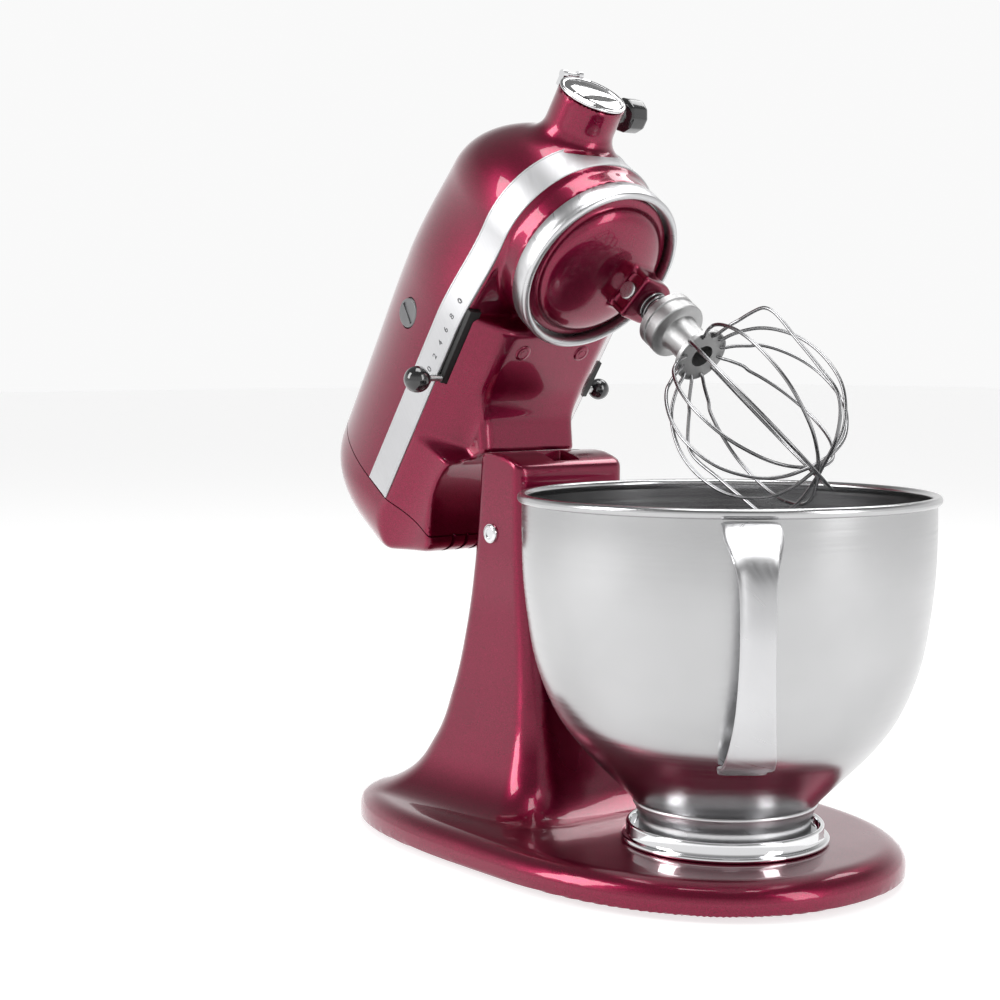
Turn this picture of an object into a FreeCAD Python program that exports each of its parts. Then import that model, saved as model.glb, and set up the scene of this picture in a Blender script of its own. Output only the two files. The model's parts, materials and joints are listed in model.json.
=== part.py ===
import FreeCAD, Part
import Sketcher
import math
import os
import re
from FreeCAD import Placement, Rotation, Vector

# A tilt-head stand mixer: a cast base with a column, a motor head hinged on it, and a bowl.
# Every head piece is drawn with the head closed and level, then tilted about the hinge pin.
# Millimetres. X runs forward from the column to the nose, Z is up, and the bowl axis is X = Y = 0
# before the whole object is moved along X by origin_shift.

SIZES = {
    "origin_shift": 102.7,      # puts the origin under the middle of the object's box
    "tilt_angle": 54.7,         # the head stands this far up
    "hinge_x": -150.5,
    "hinge_z": 173.0,
    "pin_radius": 4.5,
    "running_gap": 0.05,        # radial clearance of a shaft in its bore
    "column_half": 40.0,
    "column_top_radius": 46.7,  # the column's top is round about the hinge
    "recess_radius": 47.5,      # the head's recess turns around that top
    "base_floor": 3.0,
    "base_height": 19.0,
    "bowl_rim_radius": 108.6,
    "bowl_rim_height": 201.0,
    "bowl_wall": 1.2,
    "bead_radius": 2.6,
    "foot_radius": 45.5,
    "clamp_radius": 55.6,
    "head_half": 59.5,
    "head_top": 353.0,
    "head_wall": 3.5,
    "nose_radius": 52.5,
    "seam_height": 256.0,
    "rear_end": -226.0,
    "rear_seam": -182.0,
    "band_low": 245.5,
    "band_high": 266.5,
    "band_thick": 0.8,
    "trim_low": 217.4,
    "trim_high": 230.4,
    "trim_radius": 51.5,
    "dome_radius": 44.0,
    "motor_height": 292.0,
    "armature_radius": 4.0,
    "core_radius": 24.0,
    "stator_radius": 45.0,
    "hub_height": 282.0,
    "hub_front": 78.0,
    "hub_radius": 20.0,
    "hub_bore": 12.7,
    "hub_depth": 38.0,
    "drive_radius": 9.0,
    "centre_radius": 6.0,
    "gear_module": 1.5,
    "ring_teeth": 54.0,
    "planet_teeth": 14.0,
    "beater_radius": 6.35,
    "beater_angle": 107.0,
    "wire_radius": 1.0,
    "knob_radius": 7.8,
    "speed_stem": 3.0,
    "cap_radius": 9.0,
}

doc = FreeCAD.newDocument("stand_mixer")
sheet = doc.addObject("Spreadsheet::Sheet", "sizes")
for row, (alias, number) in enumerate(SIZES.items(), start=1):
    sheet.set("A%d" % row, alias)
    sheet.set("B%d" % row, str(number))
    sheet.setAlias("B%d" % row, alias)
doc.recompute()


def size(alias):
    return float(sheet.get(alias))


def bound(text):
    """An expression on the sheet, written with the plain aliases."""
    return re.sub(r"[a-z]+_[a-z_]+", lambda word: "sizes." + word.group(0), str(text))


UP = Vector(0, 0, 1)
SHIFT = Placement(Vector(size("origin_shift"), 0, 0), Rotation())
HINGE = Vector(size("hinge_x"), 0, size("hinge_z"))
TILT = SHIFT * Placement(Vector(), Rotation(Vector(0, -1, 0), size("tilt_angle")), HINGE)

pieces = []


def keep(piece, label, place):
    """Name a finished sub-part, put it in its place and list it for export."""
    piece.Label = label
    piece.Placement = place * piece.Placement
    pieces.append(piece)
    return piece


# ------------------------------------------------------------------ building helpers

count = 0


def new(kind, name):
    global count
    count += 1
    return doc.addObject(kind, "%s_%d" % (name, count))


def cylinder(radius, height, at, along=UP):
    """A cylinder whose radius and height are sheet expressions, from its start point."""
    piece = new("Part::Cylinder", "cylinder")
    piece.setExpression("Radius", bound(radius))
    piece.setExpression("Height", bound(height))
    piece.Placement = Placement(Vector(*at), Rotation(UP, Vector(*along)))
    return piece


def cone(radius, tip, height, at, along=UP):
    piece = new("Part::Cone", "cone")
    piece.setExpression("Radius1", bound(radius))
    piece.setExpression("Radius2", bound(tip))
    piece.setExpression("Height", bound(height))
    piece.Placement = Placement(Vector(*at), Rotation(UP, Vector(*along)))
    return piece


def sphere(radius, at):
    piece = new("Part::Sphere", "sphere")
    piece.setExpression("Radius", bound(radius))
    piece.Placement.Base = Vector(*at)
    return piece


def box(length, width, height, at):
    """A box from its low corner."""
    piece = new("Part::Box", "box")
    piece.setExpression("Length", bound(length))
    piece.setExpression("Width", bound(width))
    piece.setExpression("Height", bound(height))
    piece.Placement.Base = Vector(*at)
    return piece


def cut(base, tool):
    piece = new("Part::Cut", "cut")
    piece.Base = base
    piece.Tool = tool
    return piece


def fuse(*shapes):
    piece = new("Part::MultiFuse", "fuse")
    piece.Shapes = list(shapes)
    return piece


def group(*shapes):
    """Separate identical solids that share one sub-part."""
    piece = new("Part::Compound", "group")
    piece.Links = list(shapes)
    return piece


def tube(outer, inner, height, at, along=UP):
    return cut(cylinder(outer, height, at, along), cylinder(inner, height, at, along))


def free(shape, name="shape"):
    """A shape made with Part's own functions, as an object of the document."""
    piece = new("Part::Feature", name)
    piece.Shape = shape
    return piece


def turned(name, profile, at=(0, 0, 0), along=UP):
    """A PartDesign body turned about its own axis: profile lists (radius, height) expressions."""
    body = new("PartDesign::Body", name)
    sketch = body.newObject("Sketcher::SketchObject", name + "_profile_%d" % count)
    plane = [p for p in body.Origin.OriginFeatures if p.Role == "XZ_Plane"][0]
    sketch.AttachmentSupport = [(plane, "")]
    sketch.MapMode = "FlatFace"
    rough = [(rough_value(r), rough_value(z)) for r, z in profile]
    for index, start in enumerate(rough):
        end = rough[(index + 1) % len(rough)]
        sketch.addGeometry(Part.LineSegment(Vector(*start), Vector(*end)), False)
    for index in range(len(rough)):
        following = (index + 1) % len(rough)
        sketch.addConstraint(Sketcher.Constraint("Coincident", index, 2, following, 1))
    for index, (radius, height) in enumerate(profile):
        pin_down(sketch, "DistanceX", -2, index, radius, rough[index][0])
        pin_down(sketch, "DistanceY", -1, index, height, rough[index][1])
    turn = body.newObject("PartDesign::Revolution", name + "_turn_%d" % count)
    turn.Profile = sketch
    turn.ReferenceAxis = (sketch, ["V_Axis"])
    turn.Angle = 360
    body.Placement = Placement(Vector(*at), Rotation(UP, Vector(*along)))
    return body


def pin_down(sketch, kind, axis, index, text, rough):
    """Hold one corner of a profile at a sheet expression, or on the axis where it is zero."""
    if abs(rough) < 1e-9:
        sketch.addConstraint(Sketcher.Constraint("PointOnObject", index, 1, axis))
        return
    number = sketch.addConstraint(Sketcher.Constraint(kind, -1, 1, index, 1, rough))
    if not isinstance(text, (int, float)):
        sketch.setExpression("Constraints[%d]" % number, bound(text))


def rough_value(text):
    """The number that a sum of aliases and numbers comes to."""
    if isinstance(text, (int, float)):
        return float(text)
    total = 0.0
    for sign, word in re.findall(r"([+-]?)\s*([a-z_0-9.]+)", text):
        number = size(word) if word[0].isalpha() else float(word)
        total += -number if sign == "-" else number
    return total


def extruded(points, depth, at, direction):
    """A prism on a closed outline of points and three-point arcs, drawn in a plane."""
    return Part.Face(Part.Wire(outline(points))).extrude(direction * depth).translated(at)


def outline(points):
    """Edges through a closed list: a bare point is a corner, ('arc', mid) bends to the next."""
    edges = []
    corners = [p for p in points if not isinstance(p, tuple)]
    start = corners[0]
    bend = None
    for item in points[1:] + [start]:
        if isinstance(item, tuple):
            bend = item[1]
            continue
        if bend is not None:
            edges.append(Part.Arc(start, bend, item).toShape())
        elif (item - start).Length > 1e-6:
            edges.append(Part.LineSegment(start, item).toShape())
        start = item
        bend = None
    return edges


# ------------------------------------------------------------------ the head's outer form

def head_form(inset):
    """The head's outside drawn in by inset: plan, side view and cross-section prisms in common."""
    half = size("head_half") - inset
    nose = size("nose_radius") - inset
    rear = size("rear_end") + inset
    top = size("head_top") - inset

    def flat(x, y):
        return Vector(x, y, 180)

    plan = extruded([flat(-190, -half), flat(-60, -half), ("arc", flat(-28, -half + 2)),
                     flat(3, -nose), ("arc", flat(nose, 0)), flat(3, nose),
                     ("arc", flat(-28, half - 2)), flat(-60, half), flat(-190, half),
                     ("arc", flat(rear, 0))], 200, Vector(), UP)

    def side_point(x, z):
        return Vector(x, -80, z)

    low = 230.4 + inset
    side = extruded([side_point(-198, top), side_point(-70, top),
                     ("arc", side_point(12 - inset * 0.5, 338 - inset)),
                     side_point(54 - inset, 275), side_point(54 - inset, low),
                     side_point(-52, low), side_point(-56, 227 + inset),
                     side_point(-100, 227 + inset), side_point(-122, 214 + inset),
                     side_point(-126, 205 + inset), side_point(-196, 205 + inset),
                     side_point(rear, 246 + inset), side_point(rear, 305),
                     ("arc", side_point(-218 + inset * 0.7, 338 - inset * 0.7))],
                    160, Vector(), Vector(0, 1, 0))

    def across(x, shoulder, bottom):
        """One cross-section: a round crown, sides leaning out to the band, and a belly."""
        crown = size("head_top") - 54
        return [Vector(x, 54 - inset, crown), ("arc", Vector(x, 0, top)),
                Vector(x, -54 + inset, crown), Vector(x, -half, size("band_high")),
                Vector(x, -half, size("band_low") + inset * 0.4),
                Vector(x, -shoulder + inset, bottom), Vector(x, -shoulder + inset, 180),
                Vector(x, shoulder - inset, 180), Vector(x, shoulder - inset, bottom),
                Vector(x, half, size("band_low") + inset * 0.4), Vector(x, half, size("band_high"))]

    front = extruded(across(-132, 35, 226), 200, Vector(), Vector(1, 0, 0))
    rear_part = extruded(across(-232, 50, 222), 100.01, Vector(), Vector(1, 0, 0))
    return plan.common(side).common(front.fuse(rear_part))


def slab(low, high, start=-300.0, end=200.0):
    """Everything between two heights and two stations along X."""
    return Part.makeBox(end - start, 300, high - low, Vector(start, -150, low))


HX, HZ = size("hinge_x"), size("hinge_z")
SEAM, REAR_SEAM = size("seam_height"), size("rear_seam")
WALL = size("head_wall")
MOTOR, HUB = size("motor_height"), size("hub_height")
outer = head_form(0.0)
inner = head_form(WALL)
recess = Part.makeCylinder(size("recess_radius"), 300, Vector(HX, -150, HZ), Vector(0, 1, 0))
recess_skin = Part.makeCylinder(size("recess_radius") + WALL, 300, Vector(HX, -150, HZ),
                                Vector(0, 1, 0))
GEAR_FLOOR, FLOOR_TOP = 235.4, 238.9
drum = Part.makeCylinder(51, 18, Vector(0, 0, size("trim_high")))
drum_room = Part.makeCylinder(47, 12, Vector(0, 0, FLOOR_TOP))
drum_floor = Part.makeCylinder(50, FLOOR_TOP - size("trim_high"), Vector(0, 0, size("trim_high")))
gear_space = Part.makeCylinder(46.9, GEAR_FLOOR - 229, Vector(0, 0, 229))


def y_rod(radius, x, z, start, end):
    """A solid cylinder along Y between two stations."""
    return Part.makeCylinder(radius, end - start, Vector(x, start, z), Vector(0, 1, 0))


def x_rod(radius, y, z, start, end):
    return Part.makeCylinder(radius, end - start, Vector(start, y, z), Vector(1, 0, 0))


# The shell of the whole head: outer form less the room inside, with the hinge recess walled off.
shell_outer = outer.fuse(drum).cut(recess)
shell_room = inner.cut(recess_skin).fuse(drum_room)
slots = Part.makeBox(50, 30, 5, Vector(-94, -75, 241.3)).fuse(
    Part.makeBox(26, 30, 5, Vector(-105.5, 45, 241.3)))
brush_holes = y_rod(size("cap_radius") + 0.3, -79, MOTOR, -80, -40).fuse(
    y_rod(size("cap_radius") + 0.3, -79, MOTOR, 40, 80))

# ------------------------------------------------------------------ motor head, upper housing

neck = Part.makeCone(30, size("hub_radius"), 22, Vector(38, 0, HUB), Vector(1, 0, 0))
neck = neck.fuse(x_rod(size("hub_radius"), 0, HUB, 50, size("hub_front") - 3))
neck = neck.common(slab(SEAM, 340, 38, 90))
hub_hole = x_rod(size("hub_bore") + 3, 0, HUB, 20, 90)
thumb_hole = y_rod(5.2, 66, HUB, 5, 30)
upper = shell_outer.common(slab(SEAM, 400, REAR_SEAM)).cut(shell_room).fuse(neck)
band = head_form(-size("band_thick")).cut(outer.fuse(drum))
band = band.common(slab(size("band_low"), size("band_high"), -181)).cut(slots).cut(hub_hole)
upper = upper.cut(hub_hole).cut(slots).cut(brush_holes).cut(thumb_hole).cut(band)
keep(free(upper, "motor_housing"), "motor_housing", TILT)

# ------------------------------------------------------------------ gearcase, the lower housing

lower = shell_outer.common(slab(180, SEAM, REAR_SEAM)).cut(shell_room).cut(slots)
lower = lower.fuse(drum_floor).cut(gear_space)
lugs = []
for middle in (-20.0, 20.0):
    start = middle - 5.5
    wedge = Part.makePolygon([Vector(HX, start, HZ), Vector(HX - 6, start, HZ + 56),
                              Vector(HX - 42, start, HZ + 34), Vector(HX - 10, start, HZ - 8),
                              Vector(HX, start, HZ)])
    lug = Part.Face(wedge).extrude(Vector(0, 11, 0)).common(recess_skin)
    lug = lug.common(slab(150, 400, REAR_SEAM))
    lugs.append(lug.fuse(y_rod(14, HX, HZ, start, start + 11)))
pin_bore = y_rod(size("pin_radius") + size("running_gap"), HX, HZ, -60, 60)
bush_hole = Part.makeCylinder(9, 20, Vector(0, 0, 234))
boss = Part.makeCylinder(13, 6, Vector(0, 0, 237))
lock_bore = Part.makeCylinder(5.05, 40, Vector(-139, 0, 205))
lock_boss = Part.makeCylinder(8.5, 16, Vector(-139, 0, 221)).cut(recess)
lower = lower.fuse(lugs).fuse([boss, lock_boss]).cut(pin_bore).cut(bush_hole).cut(lock_bore)
keep(free(lower, "gearcase"), "gearcase", TILT)

rear = shell_outer.common(slab(150, 400, -260, REAR_SEAM)).cut(shell_room)
vents = [Part.makeBox(30, 3.2, 26, Vector(-214, y, 200)) for y in (-24, -12, 0, 12, 24)]
gland_hole = x_rod(6.5, 26, 264, -240, -200)
screw_hole = x_rod(2.0, 0, 318, -240, -200).fuse(x_rod(4.2, 0, 318, -240, -224.4))
rear = rear.cut(vents[0].multiFuse(vents[1:])).cut(gland_hole).cut(screw_hole)
keep(free(rear, "rear_cover"), "rear_cover", TILT)
keep(turned("rear_cover_screw", [(0, 0), (4, 0), (4, 1.5), (2, 3), (2, 12), (0, 12)],
            (-227.4, 0, 318), (1, 0, 0)), "rear_cover_screw", TILT)
keep(turned("cord_gland", [(3.6, 0), (8.5, 0), (8.5, 3), (6.4, 3), (6.4, 9), (3.6, 9)],
            (-229, 26, 264), (1, 0, 0)), "cord_gland", TILT)

# ------------------------------------------------------------------ trim

keep(free(band, "trim_band"), "trim_band", TILT)
keep(turned("trim_ring", [
    ("trim_radius-4.6", "trim_low+1"), ("trim_radius-3.4", "trim_low"),
    ("trim_radius-1.4", "trim_low"), ("trim_radius-0.4", "trim_low+1.2"),
    ("trim_radius", "trim_low+3"), ("trim_radius", "trim_high"),
    ("trim_radius-4.6", "trim_high")]), "trim_ring", TILT)

# ------------------------------------------------------------------ planetary gears

MODULE = size("gear_module")
RING, PLANET = int(size("ring_teeth")), int(size("planet_teeth"))
ORBIT = MODULE * (RING - PLANET) / 2
ANGLE = math.radians(size("beater_angle"))
BX, BY = ORBIT * math.cos(ANGLE), ORBIT * math.sin(ANGLE)


def toothed(teeth, root, tip, low, high, turn=0.0, flank=0.17):
    """A spur gear blank with straight-sided teeth, the first of them centred on turn."""
    corners = []
    for tooth in range(teeth):
        for part, radius in ((-0.5 + flank, root), (-flank * 0.75, tip),
                             (flank * 0.75, tip), (0.5 - flank, root)):
            angle = math.radians(turn) + 2 * math.pi * (tooth + part * 0.9) / teeth
            corners.append(Vector(radius * math.cos(angle), radius * math.sin(angle), low))
    face = Part.Face(Part.makePolygon(corners + corners[:1]))
    return face.extrude(Vector(0, 0, high - low))


def bevel(teeth, pitch, small, width):
    """A toothed cone on its own Z axis, wide end at the bottom."""
    low = Part.makePolygon(tooth_ring(teeth, pitch, 0.0))
    high = Part.makePolygon(tooth_ring(teeth, small, width))
    return Part.makeLoft([low, high], True, True)


def tooth_ring(teeth, pitch, height):
    ring = []
    for step in range(2 * teeth + 1):
        near = math.pi * (step - 0.2) / teeth
        far = math.pi * (step + 0.2) / teeth
        radius = pitch if step % 2 == 0 else pitch * 0.93
        for angle in (near, far):
            ring.append(Vector(radius * math.cos(angle), radius * math.sin(angle), height))
    return ring[:-2] + ring[:1]


CENTRE_TEETH, PINION_TEETH = 36, 20
ring_pitch, planet_pitch = MODULE * RING / 2, MODULE * PLANET / 2
degrees = size("beater_angle")
ring_space = toothed(RING, ring_pitch - 1.0, ring_pitch + 1.9, 226, 236,
                     degrees, flank=0.12)
ring_gear = Part.makeCylinder(46.8, 7.9, Vector(0, 0, 227.4)).cut(ring_space)
keep(free(ring_gear, "ring_gear"), "ring_gear", TILT)
planet = toothed(PLANET, planet_pitch - 1.7, planet_pitch + 1.0, 228.0, 235.0,
                 degrees, flank=0.2)
planet = planet.cut(Part.makeCylinder(size("beater_radius") - 1.2, 20, Vector(0, 0, 220)))
planet.translate(Vector(BX, BY, 0))
keep(free(planet, "planet_pinion"), "planet_pinion", TILT)

# ------------------------------------------------------------------ planetary housing and shafts

BOSS = 13.0

dome = turned("dome", [(0, 227), (0, 213), (16, 213), (30, 216), (39, 220.5),
                       ("dome_radius-0.6", 224), ("dome_radius", 227)])
boss_form = cylinder(BOSS, 25, (BX, BY, 201))
boss_form = fuse(dome, boss_form)
beater_hole = cylinder("beater_radius+running_gap", 40, (BX, BY, 190))
centre_hole = cylinder("centre_radius", 14, (0, 0, 216))
across_pin = (-math.sin(ANGLE), math.cos(ANGLE), 0)
keep(cut(cut(boss_form, beater_hole), centre_hole), "planetary_housing", TILT)
keep(turned("centre_shaft", [(0, 216), ("centre_radius", 216), ("centre_radius", 243.4),
                             (5, 243.4), (5, 246.4), (0, 246.4)]), "centre_shaft", TILT)
keep(tube(9, "centre_radius+running_gap", 7.6, (0, 0, 235.4)), "centre_bushing", TILT)
centre_bevel = bevel(CENTRE_TEETH, 33.5, 26, 6)
centre_bevel.translate(Vector(0, 0, 246.5))
web = Part.makeCylinder(30, 3, Vector(0, 0, 243.5))
room = Part.makeCylinder(24, 10, Vector(0, 0, 246.45))
centre_bevel = centre_bevel.fuse(web).cut(room).cut(Part.makeCylinder(5, 20, Vector(0, 0, 240)))
keep(free(centre_bevel, "centre_bevel_gear"), "centre_bevel_gear", TILT)
SHAFT_END = 166.0
keep(turned("beater_shaft", [(0, SHAFT_END), ("beater_radius-0.8", SHAFT_END),
                             ("beater_radius", SHAFT_END + 1), ("beater_radius", 227.8),
                             ("beater_radius-1.2", 227.8), ("beater_radius-1.2", 235),
                             (0, 235)], (BX, BY, 0)), "beater_shaft", TILT)
PIN_Z = 180.5
whisk_pin = Part.makeCylinder(2.2, 20.4, Vector(BX, BY, PIN_Z) - Vector(*across_pin) * 10.2,
                              Vector(*across_pin))
whisk_pin = whisk_pin.cut(Part.makeCylinder(size("beater_radius"), 30, Vector(BX, BY, 165)))
keep(free(whisk_pin, "beater_cross_pin"), "beater_cross_pin", TILT)
keep(turned("planet_pin", [(0, 0), (4.4, 0), (4.4, 1.2), (3.6, 2.2), (0, 2.2)],
            (BX, BY - BOSS, 208), (0, -1, 0)), "planetary_lock_pin", TILT)

# ------------------------------------------------------------------ whisk

WIRE = size("wire_radius")


def coil(radius, pitch, height, wire, at):
    """A helical spring swept from a round wire."""
    helix = Part.makeHelix(pitch, height, radius)
    section = Part.Wire(Part.Circle(Vector(radius, 0, 0), Vector(0, 1, 0), wire).toShape())
    return Part.Wire(helix).makePipeShell([section], True, True).translated(Vector(*at))


keep(free(coil(8.6, 3.4, 10.0, 0.9, (BX, BY, 188.8)), "shaft_spring"), "shaft_spring", TILT)
whisk_form = turned("whisk_form", [
    (0, 149), (16.2, 149), (16.2, 152), (11.5, 154), (10.5, 159), (11.5, 168), (17, 174),
    (17.4, 184), (15.5, 186.5), ("beater_radius+0.4", 186.5), ("beater_radius+0.4", 183),
    (10.9, 183), (10.9, 172.5), ("beater_radius+0.4", 172.5), ("beater_radius+0.4", 160), (0, 160)],
    (BX, BY, 0))
key_way = box(21.8, 5.4, 12, (-10.9, -2.7, 176))
key_way.Placement = Placement(Vector(BX, BY, 0), Rotation(UP, size("beater_angle"))).multiply(
    key_way.Placement)
keep(cut(whisk_form, key_way), "whisk_hub", TILT)


def rounded_path(points):
    """Straight runs joined by tangent arcs, each as large as its two runs allow."""
    edges = []
    start = points[0]
    for before, corner, after in zip(points, points[1:], points[2:]):
        back, on = before - corner, after - corner
        reach = 0.45 * min(back.Length, on.Length)
        back.normalize()
        on.normalize()
        half_turn = (math.pi - back.getAngle(on)) / 2
        radius = reach / math.tan(half_turn)
        inward = (back + on).normalize()
        middle = corner + inward * (math.hypot(radius, reach) - radius)
        edges.append(Part.LineSegment(start, corner + back * reach).toShape())
        edges.append(Part.Arc(corner + back * reach, middle, corner + on * reach).toShape())
        start = corner + on * reach
    edges.append(Part.LineSegment(start, points[-1]).toShape())
    return Part.Wire(edges)


def wire_along(points, radius):
    """A round wire swept along a rounded path."""
    spine = rounded_path(points)
    section = Part.Wire(Part.Circle(points[0], points[1] - points[0], radius).toShape())
    return spine.makePipeShell([section], True, False)


def whisk_loop(turn, widest, bottom):
    """One bent wire of the whisk: down from the hub plate, round the bottom and up again."""
    half = [(13.2, 148.9), (widest * 0.83, 130), (widest, 95), (widest * 0.84, 66),
            (widest * 0.32, bottom)]
    points = half + [(-x, z) for x, z in reversed(half)]
    lean = math.radians(turn)
    return wire_along([Vector(BX + x * math.cos(lean), BY + x * math.sin(lean), z)
                       for x, z in points], WIRE)


LOOPS = 6
wires = []
for loop in range(LOOPS):
    turn = degrees + 15 + loop * 180.0 / LOOPS
    wires.append(whisk_loop(turn, 49.5 - 1.1 * loop, 39 + 2.3 * loop))
keep(free(Part.makeCompound(wires), "whisk_wires"), "whisk_wires", TILT)

# ------------------------------------------------------------------ worm drive

WHEEL_Z = 268.0
keep(turned("worm_wheel_shaft", [(0, -44), (3.5, -44), (3.5, 22), (3, 22), (3, 31), (0, 31)],
            (0, 0, WHEEL_Z), (0, 1, 0)), "worm_wheel_shaft", TILT)
wheel = toothed(30, 17.2, 18.8, -5, 5, flank=0.2).cut(
    Part.makeCylinder(3.5, 30, Vector(0, 0, -15)))
wheel.Placement = Placement(Vector(0, 0, WHEEL_Z), Rotation(UP, Vector(0, 1, 0)))
keep(free(wheel, "worm_wheel"), "worm_wheel", TILT)
pinion = bevel(PINION_TEETH, 18.6, 14.0, 7).cut(Part.makeCylinder(3, 30, Vector(0, 0, -5)))
pinion.Placement = Placement(Vector(0, 31, WHEEL_Z), Rotation(UP, Vector(0, -1, 0)))
keep(free(pinion, "bevel_pinion"), "bevel_pinion", TILT)
bracket_arms = [tube(7, "3.5+running_gap", 6, (0, y, WHEEL_Z), (0, 1, 0)) for y in (-42.5, 12)]
bracket_feet = [box(10, 6, 28, (-5, -42.5, 240)),
                fuse(box(42, 6, 6, (-42.8, 12, 262)), box(5, 6, 28, (-42.8, 12, 238.9)))]
keep(group(*[cut(fuse(arm, foot), cylinder("3.5+running_gap", 8, (0, y - 1, WHEEL_Z), (0, 1, 0)))
             for arm, foot, y in zip(bracket_arms, bracket_feet, (-42.5, 12))]),
     "worm_bracket", TILT)

keep(turned("armature_shaft", [(0, -176), ("armature_radius", -176), ("armature_radius", -14),
                               (5, -12), (5, 12), (3, 14), (3, 20), (0, 20)],
            (0, 0, MOTOR), (1, 0, 0)), "armature_shaft", TILT)
keep(tube("core_radius", "armature_radius", 52, (-150, 0, MOTOR), (1, 0, 0)),
     "armature_core", TILT)
keep(tube(12, "armature_radius", 20, (-90, 0, MOTOR), (1, 0, 0)), "commutator", TILT)
blades = [Part.makeBox(10, 1.6, 24, Vector(-170, -0.8, MOTOR + 9)) for _ in range(9)]
for index, blade in enumerate(blades):
    blade.rotate(Vector(-170, 0, MOTOR), Vector(1, 0, 0), 40 * index)
fan = x_rod(10, 0, MOTOR, -170, -160).fuse(x_rod(33, 0, MOTOR, -161.5, -160)).fuse(blades)
keep(free(fan.cut(x_rod(4, 0, MOTOR, -200, -100)), "cooling_fan"), "cooling_fan", TILT)
keep(group(tube(9, "armature_radius+running_gap", 6, (-176, 0, MOTOR), (1, 0, 0)),
           tube(9, "armature_radius+running_gap", 6, (-52, 0, MOTOR), (1, 0, 0))),
     "armature_bearings", TILT)
stator = x_rod(size("stator_radius"), 0, MOTOR, -146, -98).cut(x_rod(24.8, 0, MOTOR, -200, -50))
windows = [Part.makeBox(60, 14, 34, Vector(-150, -7, MOTOR + 22)) for _ in range(2)]
windows[1].rotate(Vector(0, 0, MOTOR), Vector(1, 0, 0), 180)
keep(free(stator.cut(windows), "field_stator"), "field_stator", TILT)
coils = []
for side in (-1, 1):
    ring = Part.makeBox(58, 11, 16, Vector(-151, -5.5, MOTOR + side * 34 - 8))
    coils.append(ring.common(x_rod(size("stator_radius"), 0, MOTOR, -160, -90)))
keep(free(Part.makeCompound(coils), "field_coils"), "field_coils", TILT)


def brush_set(side):
    """Holder, carbon, spring and screw cap of one side, on the armature's centre line."""
    out = (0, side, 0)

    def at(y):
        return (-79, side * y, MOTOR)

    return (tube(6, 4.2, 27, at(18), out), cylinder(4, 16, at(12.2), out),
            coil(3, 2.4, 12, 0.5, (0, 0, 0)), at, out)


holders, carbons, springs, caps = [], [], [], []
for side in (-1, 1):
    holder, carbon, spring, at, out = brush_set(side)
    holders.append(holder)
    carbons.append(carbon)
    spring.Placement = Placement(Vector(*at(29.2)), Rotation(UP, Vector(*out)))
    springs.append(spring)
    head = cylinder("cap_radius", 9, at(47.5), out)
    slot = box(30, 3, 2, (-94, side * 56.5 - 1.5, MOTOR - 1))
    caps.append(cut(head, slot))
keep(group(*holders), "brush_holders", TILT)
keep(group(*carbons), "carbon_brushes", TILT)
keep(free(Part.makeCompound(springs), "brush_springs"), "brush_springs", TILT)
keep(group(*caps), "brush_caps", TILT)
keep(cut(box(3, 60, 52, (-184.5, -30, 266)), cylinder(10, 8, (-187, 0, MOTOR), (1, 0, 0))),
     "control_plate", TILT)

# ------------------------------------------------------------------ controls

lever = fuse(box(96, 3, 4, (-180, -46, 241.8)), box(8, 6, 4, (-95, -49, 241.8)),
             cylinder("speed_stem-0.9", 24, (-91, -68, 243.8), (0, 1, 0)))
keep(lever, "speed_lever", TILT)
keep(cut(sphere("knob_radius", (-92, -74.6, 243)),
         cylinder("speed_stem-0.9", 24, (-91, -68, 243.8), (0, 1, 0))), "speed_knob", TILT)
lock = fuse(box(34, 48, 2.6, (-148, -6, 243)), cylinder(2.1, 24, (-101, 40, 243.8), (0, 1, 0)),
            box(50, 6, 2.6, (-148, 38, 243)))
keep(cut(lock, box(20, 6, 8, (-149, -3, 241))), "lock_lever", TILT)
keep(cut(sphere(6.6, (-101, 67.8, 243.8)), cylinder(2.1, 24, (-101, 40, 243.8), (0, 1, 0))),
     "lock_knob", TILT)
keep(turned("lock_pin", [(0, 221), (4, 221), (5, 223), (5, 240), (2, 240), (2, 242.6), (0, 242.6)],
            (-139, 0, 0)), "lock_pin", TILT)

# ------------------------------------------------------------------ attachment hub

FRONT = size("hub_front")
liner = x_rod(size("hub_bore") + 3, 0, HUB, FRONT - 38, FRONT - 2.8)
liner = liner.cut(x_rod(size("hub_bore"), 0, HUB, 0, 100)).cut(y_rod(3.4, 66, HUB, 5, 30))
keep(free(liner, "hub_socket"), "hub_socket", TILT)
drive = turned("drive", [(0, 0), (5, 0), (5, 6), ("drive_radius", 6), ("drive_radius", 12), (0, 12)],
               (FRONT - 52, 0, HUB), (1, 0, 0))
keep(cut(drive, box(10, 8, 8, (FRONT - 46, -4, HUB - 4))), "hub_drive_shaft", TILT)
hub_gear = bevel(CENTRE_TEETH, 31.8, 28.4, 5).fuse(Part.makeCylinder(8, 9, Vector(0, 0, 0)))
hub_gear = hub_gear.cut(Part.makeCylinder(5, 20, Vector(0, 0, -5)))
hub_gear.Placement = Placement(Vector(FRONT - 46.2, 0, HUB), Rotation(UP, Vector(-1, 0, 0)))
keep(free(hub_gear, "hub_bevel_gear"), "hub_bevel_gear", TILT)
cover = turned("cover", [(0, -2.6), ("hub_radius-0.6", -2.6), ("hub_radius", -1.6),
                         ("hub_radius", -0.6), ("hub_radius-1", 0), (0, 0)],
               (FRONT, 0, HUB), (1, 0, 0))
KNUCKLE_Z = HUB + 22.9
knuckle = cylinder(2.4, 8, (FRONT - 1.6, -4, KNUCKLE_Z), (0, 1, 0))
tab = box(2.2, 8, 6, (FRONT - 2.4, -4, HUB + 17))
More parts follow.
